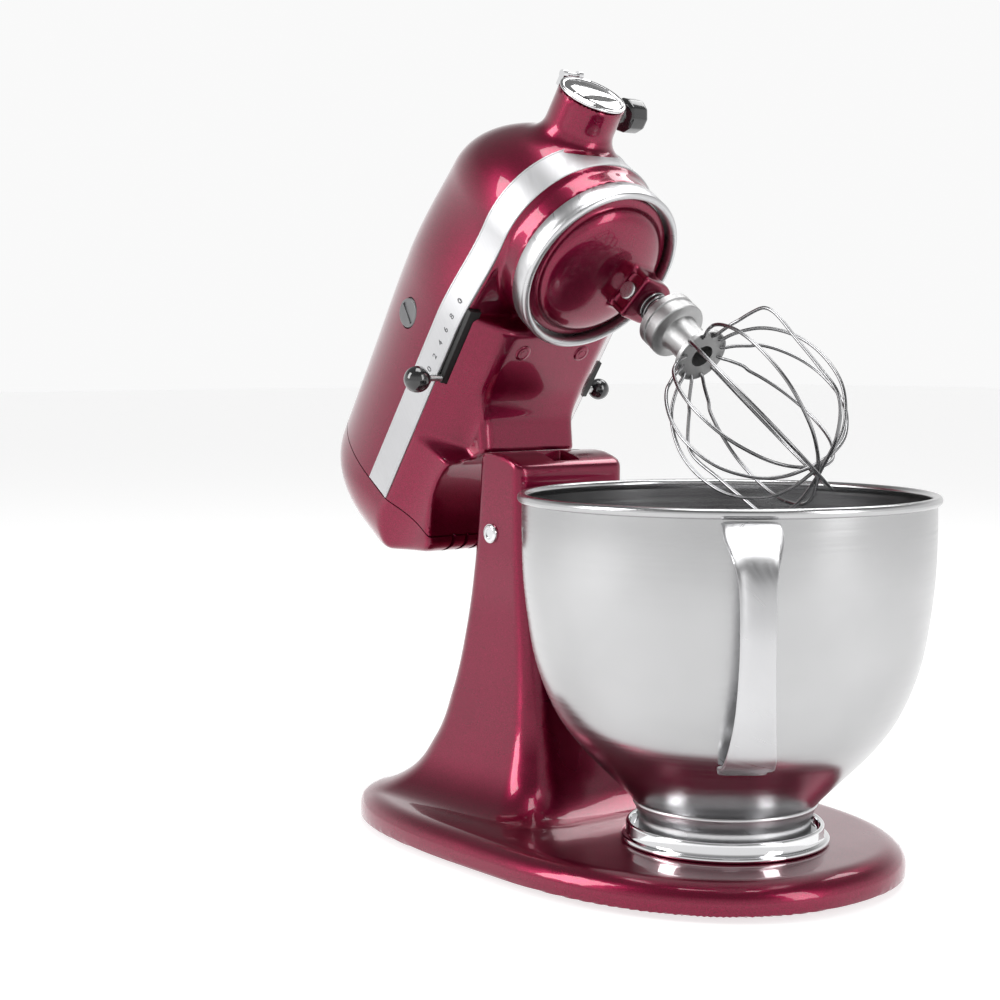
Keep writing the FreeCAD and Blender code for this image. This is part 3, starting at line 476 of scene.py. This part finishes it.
def belly_front(x, z):
    """Where the belly under the band stops, just ahead of the drum's middle."""
    return np.minimum(x + 48, BAND_LOW - z - 1.0)


head_points, head_faces = skin(head_field, (-232, -62, 200), (80, 62, 356), 1.7)
upper = part_of(head_points, head_faces, "upper_housing_skin", HEAD,
                [((0, 0, SEAM + 0.2), (0, 0, -1)), ((REAR_SEAM + 0.35, 0, 0), (-1, 0, 0))])
lower = part_of(head_points, head_faces, "gearcase_skin", HEAD,
                [((0, 0, SEAM - 0.2), (0, 0, 1)), ((REAR_SEAM + 0.35, 0, 0), (-1, 0, 0))])
rear = part_of(head_points, head_faces, "rear_cover_skin", HEAD,
               [((REAR_SEAM - 0.35, 0, 0), (1, 0, 0))])

carve(upper, lathe("brush_room", [(0, 0), (9.4, 0), (9.4, 8), (0, 8)], HEAD, 48, "-Y",
                   (CAP_X, -51, MOTOR_Z)),
      lathe("brush_room_far", [(0, 0), (9.4, 0), (9.4, 8), (0, 8)], HEAD, 48, "Y",
            (CAP_X, 51, MOTOR_Z)))
carve(lower, block("speed_slot", (-94, -75, SLOT_LOW), (-44, -50, SLOT_HIGH), HEAD),
      block("lock_slot", (-105.5, 50, SLOT_LOW), (-79.5, 75, SLOT_HIGH), HEAD))


def vents():
    """Slanted cooling slots across the rear end's underside."""
    return [block("vent", (-6.5, -1.2, -7), (6.5, 1.2, 7), HEAD @ Matrix.Translation((-187, y, 205))
                  @ Matrix.Rotation(math.radians(25), 4, "Z"), 0.5) for y in range(-33, 28, 10)]


carve(lower, *vents())
carve(rear, *vents(), lathe("screw_room", [(0, 0), (4.4, 0), (4.4, 8), (0, 8)], HEAD, 32, "X",
                          (-232, 0, 318)))
finish_piece(upper, "head", "paint", ["motor_housing"], 42)
finish_piece(lower, "head", "paint", ["gearcase"], 42)
finish_piece(rear, "head", "paint", ["rear_cover"], 42)

# Painted shade: a near-black sheet at each slot's floor darkens the pocket, whose own floor is enamel in shadow.
slot_shade = block("speed_slot_shade_sheet", (-93.6, -58.4, 241.7), (-44.4, -50.5, 246.2), HEAD, 0.3)
finish_piece(slot_shade, "head", "socket_dark", (), 40)
slot_shade = block("lock_slot_shade_sheet", (-105.1, 50.5, 241.7), (-79.9, 58.4, 246.2), HEAD, 0.3)
finish_piece(slot_shade, "head", "socket_dark", (), 40)

# ------------------------------------------------------------------ band, its numbers, trim ring


def outline(offset, steps=140):
    """Points along the head's plan outline, from the near side round the nose to the far side."""
    along = [(x, -half_width(x)) for x in np.linspace(BAND_END, 0, steps)]
    nose = [(NOSE * math.sin(a), -NOSE * math.cos(a))
            for a in np.linspace(0, math.pi, steps)[1:-1]]
    back = [(x, -y) for x, y in reversed(along)]
    points = np.array(along + nose + back, float)
    run = np.gradient(points, axis=0)
    normal = np.stack([run[:, 1], -run[:, 0]], 1) / np.hypot(*run.T)[:, None]
    return points + normal * offset


def strip(name, section, place):
    """A closed (offset, height) section swept along the head's outline."""
    rings = [[(x, y, z) for x, y in outline(offset)] for offset, z in section]
    count, sides = len(rings[0]), len(section)
    vertices = [point for ring in rings for point in ring]
    faces = [(s * count + k, s * count + k + 1, (s + 1) % sides * count + k + 1,
              (s + 1) % sides * count + k) for s in range(sides) for k in range(count - 1)]
    faces += [[s * count for s in range(sides)], [s * count + count - 1 for s in range(sides)]]
    obj = mesh_object(name, vertices, faces, place)
    outward(obj)
    return obj


band = strip("silver_band", [(-0.8, BAND_LOW + 0.1), (0.35, BAND_LOW + 0.1), (0.75, BAND_LOW + 0.5),
                             (0.75, BAND_LOW + 1.3), (0.5, BAND_LOW + 1.7),
                             (0.5, BAND_HIGH - 1.7), (0.75, BAND_HIGH - 1.3),
                             (0.75, BAND_HIGH - 0.5), (0.35, BAND_HIGH - 0.1),
                             (-0.8, BAND_HIGH - 0.1)], HEAD)
finish_piece(band, "head", "silver_trim", ["trim_band"], 30)


def number(text, x, size=5.6):
    """A printed number on the near side of the band, read with the head's front to the right."""
    curve = bpy.data.curves.new("number_" + text, "FONT")
    curve.body = text
    curve.size = size
    curve.extrude = 0.05
    curve.align_x, curve.align_y = "CENTER", "CENTER"
    holder = bpy.data.objects.new("number_" + text, curve)
    scene.collection.objects.link(holder)
    graph = bpy.context.evaluated_depsgraph_get()
    mesh = bpy.data.meshes.new_from_object(holder.evaluated_get(graph))
    bpy.data.objects.remove(holder)
    side = -half_width(x) - 0.53
    mesh.transform(HEAD @ Matrix.Translation((x, side, 253.5)) @ Matrix.Rotation(math.pi / 2, 4, "X"))
    obj = bpy.data.objects.new("band_number_" + text, mesh)
    scene.collection.objects.link(obj)
    return finish_piece(obj, "head", "ink")


for step, text in enumerate(("0", "2", "4", "6", "8", "10")):
    number(text, -92 + 9.2 * step)

ring_profile = ([(46.9, TRIM_HIGH)] + arc((49.2, TRIM_LOW + 2.3), 2.3, 180, 350, 14)
                + [(51.1, TRIM_LOW + 2.9), (51.4, TRIM_LOW + 3.6), (51.5, TRIM_HIGH - 0.6),
                   (51.0, TRIM_HIGH)])
ring = lathe("trim_ring_turned", ring_profile, HEAD, 128)
finish_piece(ring, "head", "satin_chrome", ["trim_ring"], 50)

# ------------------------------------------------------------------ belly screw bosses

for side in (-22, 22):
    boss = lathe("belly_boss", [(0, 227.6), (0, 226.5), (3.0, 226.5), (3.2, 226.2), (4.4, 226.2),
                                (5.0, 226.7), (5.2, 227.6)], HEAD, 40, "Z", (-62, side, 0))
    finish_piece(boss, "head", "paint", (), 40)
    screw = lathe("belly_screw", [(0, 226.8), (0, 226.3), (2.0, 226.3), (2.2, 226.8)], HEAD, 6, "Z",
                  (-62, side, 0))
    finish_piece(screw, "head", "paint", (), 30)

# ------------------------------------------------------------------ brush caps

slot_turn = (HEAD @ Matrix.Translation((CAP_X, 0, MOTOR_Z)) @ Matrix.Rotation(math.radians(25), 4, "Y")
             @ Matrix.Translation((-CAP_X, 0, -MOTOR_Z)))
for name, side in (("near_brush_cap", -1), ("far_brush_cap", 1)):
    cap = lathe(name, [(0, -4), (8.7, -4), (8.7, 1.2)] + arc((7.7, 1.2), 1.0, 0, 90, 4)
                + [(6.6, 2.0), (0, 1.7)], HEAD, 48, "Y" if side > 0 else "-Y",
                (CAP_X, side * CAP_SIDE, MOTOR_Z))
    low, high = sorted((side * 57.3, side * 80))
    carve(cap, block("cap_slot", (-80.2, low, 285), (-77.8, high, 299), slot_turn))
    finish_piece(cap, "head", "cap_plastic", ["brush_caps"] if side < 0 else (), 40)

# ------------------------------------------------------------------ planetary housing


def planetary_field(x, y, z):
    """The turning dish: a flat rim, a proud round middle, and the beater shaft's boss at one side.

    The boss has a shallow recess on its face toward the middle, which the pin head sits in.
    """
    r = np.hypot(x, y)
    drop = np.maximum(222.5 - z, 0)
    mound = (((r / MOUND_RADIUS) ** 2.5 + (drop / MOUND_DEPTH) ** 2.5) ** 0.4 - 1) * MOUND_DEPTH
    rim = within(within(r - DISH_RIM, DISH_FACE - z, 1.2), z - DISH_TOP, 0.6)
    dish = merge(rim, np.maximum(mound, z - 226), 1.5)
    along = (x - BX) * math.cos(PLANET_TURN) + (y - BY) * math.sin(PLANET_TURN)
    side = np.abs((x - BX) * math.sin(PLANET_TURN) - (y - BY) * math.cos(PLANET_TURN))
    end = np.where(along > 0, np.hypot(along, side), side)
    boss = within(within(end - BOSS_RADIUS, -BOSS_BACK - along, 3.0), BOSS_LOW - z, 2.0)
    cheek = np.maximum(np.maximum(np.abs(along + BOSS_BACK) - 1.5, side - 10.2), np.abs(z - 207) - 5.8)
    boss = within(boss, -cheek, 0.8)
    solid = merge(dish, np.maximum(boss, z - 226), 3.0)
    bore = np.minimum(7.2 - np.hypot(x - BX, y - BY), 215 - z)
    return np.maximum(within(solid, bore, 0.8), z - DISH_TOP)


points, faces = skin(planetary_field, (-46, -46, 198), (46, 46, 229), 1.0)
dish = mesh_object("planetary_skin", points, faces, HEAD)
finish_piece(dish, "planetary", "paint", ["planetary_housing"], 60)
PIN_TURN = PLANET_TURN - math.pi
pin_head = lathe("planetary_pin_head", [(0, -1), (5.2, -1), (5.2, 1.0)]
                 + arc((4.2, 1.0), 1.0, 0, 90, 4) + [(2.4, 2.1), (0, 2.0)],
                 HEAD, 40, (math.cos(PIN_TURN), math.sin(PIN_TURN), 0),
                 (BX + 15.2 * math.cos(PIN_TURN), BY + 15.2 * math.sin(PIN_TURN), 206.5))
finish_piece(pin_head, "planetary", "steel", ["planetary_lock_pin"], 40)

# ------------------------------------------------------------------ spring and whisk

coil_points = [(BX + 8.6 * math.cos(a), BY + 8.6 * math.sin(a), 188.9 + 10.0 * t)
               for t, a in ((k / 48, 2 * math.pi * 3.2 * k / 48) for k in range(49))]
spring = rod("spring_coil", coil_points, 0.9, HEAD)
finish_piece(spring, "beater", "wire_steel", ["shaft_spring"])

hub_profile = [(6.9, 149.0), (15.9, 149.0), (16.3, 149.4), (16.3, 151.8), (15.9, 152.2),
               (11.6, 152.8), (10.8, 153.8), (10.6, 158), (10.8, 169), (11.6, 171.2), (13.2, 172.2),
               (16.8, 172.8), (17.3, 173.4), (17.3, 177.4), (16.4, 177.9), (16.4, 181.0),
               (17.3, 181.5), (17.3, 185.4), (16.7, 186.0), (14.8, 186.4), (6.9, 186.4),
               (6.9, 183), (10.2, 182.6), (10.2, 173), (6.9, 172.4)]
whisk_hub = lathe("whisk_hub_turned", hub_profile, HEAD, 72, "Z", (BX, BY, 0))
carve(whisk_hub, block("bayonet", (-10.9, -2.7, 176), (10.9, 2.7, 190),
                       HEAD @ Matrix.Translation((BX, BY, 0)) @ Matrix.Rotation(PLANET_TURN, 4, "Z")))
finish_piece(whisk_hub, "whisk", "cast_aluminium", ["whisk_hub"], 28)

WIRES = 6
ANGULAR = 2                      # the loop that is bent with corners instead of a curve
WIRE_MARKS = [0, 0.12, 0.35, 0.75, 1.35, 2.0, 2.6, 3.2, 3.9, 4.6]


def whisk_wire(loop):
    """One bent wire, from the hub's plate out and round the bottom and back, each a little smaller."""
    wide, low = 1 - 0.022 * loop, 39 + 2.3 * loop
    radii = [13.0, 14.2, 21, 34, 46, 49.3, 45, 33, 18, 0]
    heights = [151, 148.6, 146, 137.5, 118, 94, 70, 51.5, 42, 39.2]
    if loop == ANGULAR:
        radii = [13.0, 14.2, 23, 40, 50.5, 48.5, 46, 42, 24, 0]
        heights = [151, 148.6, 144, 135, 124, 98, 76, 55, 42, 39.2]
    turn = PLANET_TURN + math.radians(15 + 180.0 / WIRES * loop)
    steps = np.linspace(0, WIRE_MARKS[-1], 60)
    r = through(steps, WIRE_MARKS, radii) * wide
    z = through(steps, WIRE_MARKS, heights)
    z = z + (low - 39) * np.clip((110 - z) / 71, 0, 1)
    half = list(zip(r, z))
    path = half + [(-r, z) for r, z in reversed(half[:-1])]
    skew = 1.6 * math.sin(2.1 * loop)
    return rod("whisk_wire", [(BX + r * math.cos(turn) - skew * math.sin(turn) * (z < 140),
                               BY + r * math.sin(turn) + skew * math.cos(turn) * (z < 140), z)
                              for r, z in path], 1.0, HEAD, resolution=2)


for loop in range(WIRES):
    finish_piece(whisk_wire(loop), "whisk", "wire_steel",
                 ["whisk_wires"] if loop == 0 else ())

# ------------------------------------------------------------------ hub cover, knobs

cover = lathe("hub_cover_turned", [(0, -2.6), (19.0, -2.6)] + arc((19.2, -1.7), 0.8, -90, 70, 6)
              + [(18.6, -0.8), (18.2, -1.2), (17.6, -1.3), (17.0, -0.9), (12, -0.3), (0, 0)],
              HEAD, 96, "X", (HUB_FRONT, 0, HUB_Z))
LENS, LENS_DEEP = 26.0, 1.1
lens = []
for sign in (1, -1):
    lens.append(lathe("lens", [(0, -LENS_DEEP), (LENS, -LENS_DEEP), (LENS, 2), (0, 2)], HEAD, 128, "X",
                      (HUB_FRONT, 0, HUB_Z - 6.5 + sign * (LENS - 3.2))))
step = lens[0].modifiers.new("both", "BOOLEAN")
step.operation, step.solver, step.object = "INTERSECT", "EXACT", lens[1]
settle(lens[0])
bpy.data.objects.remove(lens[1])
lens_floor = lens[0].copy()
lens_floor.data = lens[0].data.copy()
lens_floor.name = "hub_cover_lens"
scene.collection.objects.link(lens_floor)
lens_floor.data.transform(HEAD @ Matrix.Translation((-2.05, 0, 0)) @ HEAD.inverted())
carve(cover, lens[0], block("cover_line", (HUB_FRONT - 0.7, -17, HUB_Z - 2.2),
                            (HUB_FRONT + 2, 17, HUB_Z - 1.8), HEAD))
finish_piece(cover, "hub_cover", "chrome", ["hub_cover"], 30)
finish_piece(lens_floor, "hub_cover", "socket_dark", (), 30)

thumb = [(0, 22.2), (5.6, 22.2), (5.6, 25.4), (7.6, 26.2), (9.6, 27.4), (10.0, 28.4), (10.0, 37.6),
         (9.2, 39.2), (7.4, 39.9), (0, 39.9)]
thumb_knob = lathe("thumb_knob", thumb, HEAD, 10, "Y", (66, 0, HUB_Z))
edge = thumb_knob.modifiers.new("edges", "BEVEL")
edge.width, edge.segments, edge.limit_method = 0.0007, 3, "ANGLE"
edge.angle_limit = math.radians(22)
settle(thumb_knob)
finish_piece(thumb_knob, "hub_knob", "black_plastic", ["hub_knob"], 20)
knob_ball = [(0, -7.7)] + arc((0, 0), 7.75, -80, 55, 14) + [(4.0, 6.9), (3.4, 7.6), (0, 7.6)]
speed_ball = lathe("speed_ball", knob_ball, HEAD, 64, "Y", (-92, -74.6, LEVER_Z))
finish_piece(speed_ball, "speed_lever", "black_plastic", ["speed_knob"], 40)

# ------------------------------------------------------------------ base and column

LEVELS = [15, 30, 50, 80, 120, 165, 224]
REAR = [-238, -213, -198, -186, -176, -168, -162]
FRONT = [-66, -86, -97, -106, -116, -123, -125]
WIDE = [80, 64, 54, 47, 42, 40, 40]
CORNER = [34, 24, 18, 13, 9, 6.5, 6]


def stand_field(x, y, z):
    """The base plate with its soft top edge, flowing up into the column and its round top."""
    along = x - BASE_MIDDLE
    reach = np.where(along > 0, BASE_FRONT, BASE_BACK)
    power = np.where(along > 0, 2.3, 3.2)
    g = ((np.abs(along) / reach) ** power + (np.abs(y) / BASE_SIDE) ** power) ** (1 / power)
    span = np.hypot(along, y)
    edge = span * (1 - 1 / np.maximum(g, 0.05))
    u, v = np.maximum(edge + 13, 0) / 13, np.maximum(z - (BASE_TOP - 10), 0) / 10
    plate = (np.hypot(u, v) - 1) * 11
    plate = within(plate, RUBBER - z, 2.0)
    level = np.clip(z, 15, 224)
    rear_x, front_x = through(level, LEVELS, REAR), through(level, LEVELS, FRONT)
    corner = through(level, LEVELS, CORNER)
    dx = np.abs(x - (rear_x + front_x) / 2) - ((front_x - rear_x) / 2 - corner)
    dy = np.abs(y) - (through(level, LEVELS, WIDE) - corner)
    column = np.hypot(np.maximum(dx, 0), np.maximum(dy, 0)) + np.minimum(np.maximum(dx, dy), 0)
    column = np.maximum(column - corner, 10 - z)
    crest = np.where(z > HZ, np.hypot(x - HX, z - HZ) - 46.5, -50.0)
    column = within(column, crest, 2.5)
    return merge(plate, column, 9.0)


points, faces = skin(stand_field, (-254, -112, 0), (94, 112, 222), 2.2)
stand = mesh_object("base_casting_skin", points, faces, STAND)
carve(stand, block("lock_pocket", (-148, -10, 203), (-130, 10, 240), STAND, 1.0),
      *[block("lug_slot", (-194, y - 5.9, 160), (-148, y + 5.9, 240), STAND) for y in (-20, 20)])
finish_piece(stand, "stand", "paint", ["base_casting"], 40)

for name, side in (("near_pin_end", "-Y"), ("far_pin_end", "Y")):
    sign = 1 if side == "Y" else -1
    end = lathe(name, [(0, -3), (5.4, -3), (5.4, 0.4)] + arc((4.0, 0.2), 1.4, 10, 90, 5)
                + [(3.0, 1.55), (2.9, 0.2), (0, 0.0)], STAND, 40, side,
                (HX, sign * COLUMN_SIDE, HZ))
    finish_piece(end, "stand", "chrome", (), 30)
    # Painted shade: a near-black disc at the floor of each pin end's hollow stands in for the hollow's shade.
    hollow_shade = lathe(name + "_socket", [(0, 0.05), (2.85, 0.05), (2.85, 0.5), (0, 0.5)], STAND, 24,
                   side, (HX, sign * COLUMN_SIDE, HZ))
    finish_piece(hollow_shade, "stand", "socket_dark", (), 30)

# ------------------------------------------------------------------ bowl, its foot and plate

WALL = 1.1
heights = np.array([201, 180, 160, 138, 115, 96, 84, 73, 62, 52, 44, 39, 36, 34.6, 33.6, 33.0])
radii = np.array([108.3, 108.3, 107.6, 105.2, 101, 94.2, 88.0, 80, 70.0, 60.0, 52.0, 47.5, 40.0,
                  30.0, 16.0, 0.0])
stations = np.concatenate([[0], np.cumsum(np.hypot(np.diff(radii), np.diff(heights)))])
fine = np.linspace(0, stations[-1], 90)
outer_r, outer_z = through(fine, stations, radii), through(fine, stations, heights)
slope_r, slope_z = np.gradient(outer_r), np.gradient(outer_z)
length = np.hypot(slope_r, slope_z)
inner_r, inner_z = outer_r + slope_z / length * WALL, outer_z - slope_r / length * WALL
inner_r = np.maximum(inner_r, 0)
outer_r[-1] = inner_r[-1] = 0
bead = arc((RIM - 0.4, RIM_Z), 2.6, -80, 215, 16)
profile = (list(zip(inner_r[::-1], inner_z[::-1])) + [(RIM - 1.4, RIM_Z - 3)]
           + bead[::-1] + list(zip(outer_r[1:], outer_z[1:])))
profile = [(float(r), float(z)) for r, z in profile]
bowl = lathe("bowl_spun", profile, STAND, 160)
finish_piece(bowl, "bowl", "polished_steel", ["bowl_shell"], 60)

foot = lathe("bowl_foot_turned", [(38, 36.5), (38, 22.6), (45.4, 22.6), (45.8, 23.4), (45.6, 29)]
             + arc((49.0, 31.0), 3.6, 200, 140, 5) + [(48.2, 38.0)]
             + arc((47.6, 39.4), 1.4, -60, 60, 5) + [(46.8, 41.6), (44, 40.2)], STAND, 128)
finish_piece(foot, "bowl", "satin_chrome", ["bowl_foot"], 50)
plate = lathe("clamp_plate_turned", [(0, 19.3), (55.0, 19.3), (55.6, 20.0)]
              + arc((54.0, 20.6), 1.6, 0, 80, 4) + [(53.0, 22.4), (52.4, 23.6)]
              + arc((51.4, 27.6), 1.2, 0, 180, 6) + [(50.0, 22.6), (49.2, 22.0), (0, 22.0)],
              STAND, 128)
finish_piece(plate, "stand", "chrome", ["bowl_clamp_plate"], 50)

# ------------------------------------------------------------------ bowl handle

STRAP = [(108.6, 196), (115, 195.5), (124, 190), (134, 182.5), (140, 172), (143.0, 152),
         (141.5, 132), (137, 113), (130, 99), (120, 87), (106, 79), (90, 76), (82, 72)]
STRAP_WIDTH = [14, 14, 14, 11.5, 9.0, 8.4, 8.6, 9.4, 10.6, 12, 13, 13, 12]
marks = np.arange(len(STRAP), dtype=float)
fine = np.linspace(0, len(STRAP) - 1, 90)
line_r = through(fine, marks, [p[0] for p in STRAP])
line_z = through(fine, marks, [p[1] for p in STRAP])
line_w = through(fine, marks, STRAP_WIDTH)
run_r, run_z = np.gradient(line_r), np.gradient(line_z)
run = np.hypot(run_r, run_z)
SIDES = 24
vertices = []
for r, z, w, tr, tz in zip(line_r, line_z, line_w, run_r / run, run_z / run):
    for k in range(SIDES):
        a = 2 * math.pi * k / SIDES
        c, s = math.cos(a), math.sin(a)
        across = math.copysign(abs(c) ** 0.55, c) * w
        dished = 2.4 * np.clip((12.5 - w) / 3, 0, 1)
        out = math.copysign(abs(s) ** 0.75, s) * 1.5 + dished * ((across / w) ** 2 - 0.5)
        vertices.append((r - tz * out, across, z + tr * out))
count = len(fine)
faces = [(i * SIDES + k, i * SIDES + (k + 1) % SIDES, (i + 1) * SIDES + (k + 1) % SIDES,
          (i + 1) * SIDES + k) for i in range(count - 1) for k in range(SIDES)]
faces += [list(range(SIDES)), list(range((count - 1) * SIDES, count * SIDES))]
handle = mesh_object("bowl_handle_strap", vertices, faces,
                     STAND @ Matrix.Rotation(HANDLE_TURN, 4, "Z"))
outward(handle)
finish_piece(handle, "bowl", "satin_chrome", ["bowl_handle"], 50)

# ------------------------------------------------------------------ floor, lights and camera

floor_mesh = bpy.data.meshes.new("floor")
FLOOR_HALF = 12.0
floor_mesh.from_pydata([(-FLOOR_HALF, -FLOOR_HALF, 0), (FLOOR_HALF, -FLOOR_HALF, 0),
                        (FLOOR_HALF, FLOOR_HALF, 0), (-FLOOR_HALF, FLOOR_HALF, 0)], [], [(0, 1, 2, 3)])
floor = bpy.data.objects.new("floor", floor_mesh)
scene.collection.objects.link(floor)
paper = Nodes("floor_paper").set(base_color=(0.45, 0.45, 0.45, 1), roughness=0.8,
                                 emission_color=(1, 1, 1, 1), emission_strength=0.72)
floor_mesh.materials.append(paper.material)

world = bpy.data.worlds.new("studio")
scene.world = world
world.use_nodes = True
tree = world.node_tree
where = tree.nodes.new("ShaderNodeTexCoord")
parts = tree.nodes.new("ShaderNodeSeparateXYZ")
sky = tree.nodes.new("ShaderNodeValToRGB")
tree.links.new(where.outputs["Generated"], parts.inputs["Vector"])
tree.links.new(parts.outputs["Z"], sky.inputs["Fac"])
tree.links.new(sky.outputs["Color"], tree.nodes["Background"].inputs["Color"])
sky.color_ramp.elements[0].position, sky.color_ramp.elements[0].color = 0.0, grey(0.95)
sky.color_ramp.elements[1].position, sky.color_ramp.elements[1].color = 0.60, grey(0.22)
middle = sky.color_ramp.elements.new(0.22)
middle.color = grey(0.95)
tree.nodes["Background"].inputs["Strength"].default_value = 1.0


def softbox(name, at, aim, width, height, power):
    """A rectangular area light at one place, facing another."""
    light = bpy.data.lights.new(name, "AREA")
    light.shape, light.size, light.size_y, light.energy = "RECTANGLE", width, height, power
    holder = bpy.data.objects.new(name, light)
    scene.collection.objects.link(holder)
    holder.location = at
    direction = Vector(aim) - Vector(at)
    holder.rotation_euler = direction.to_track_quat("-Z", "Y").to_euler()


softbox("key", (-0.75, -1.55, 1.05), (-0.05, 0, 0.2), 0.7, 1.3, 22)
softbox("fill", (1.5, 0.35, 0.75), (0, 0, 0.2), 0.5, 1.2, 9)
softbox("overhead", (0.1, 0.1, 1.7), (0, 0, 0.2), 0.9, 0.9, 14)
softbox("back", (-0.3, 1.25, 1.6), (-0.03, 0, 0.4), 0.9, 0.7, 8)

AZIMUTH, ELEVATION = math.radians(51.5), math.radians(4.38)
camera = bpy.data.objects.new("camera", bpy.data.cameras.new("camera"))
scene.collection.objects.link(camera)
camera.location = (bowl_x + 0.7136, -0.7206, 0.2766)
back_way = Vector((math.sin(AZIMUTH) * math.cos(ELEVATION), -math.cos(AZIMUTH) * math.cos(ELEVATION),
                   math.sin(ELEVATION)))
camera.rotation_euler = back_way.to_track_quat("Z", "Y").to_euler()
camera.data.lens, camera.data.sensor_width = 69.08, 36.0
scene.camera = camera
scene.view_settings.view_transform = "Standard"
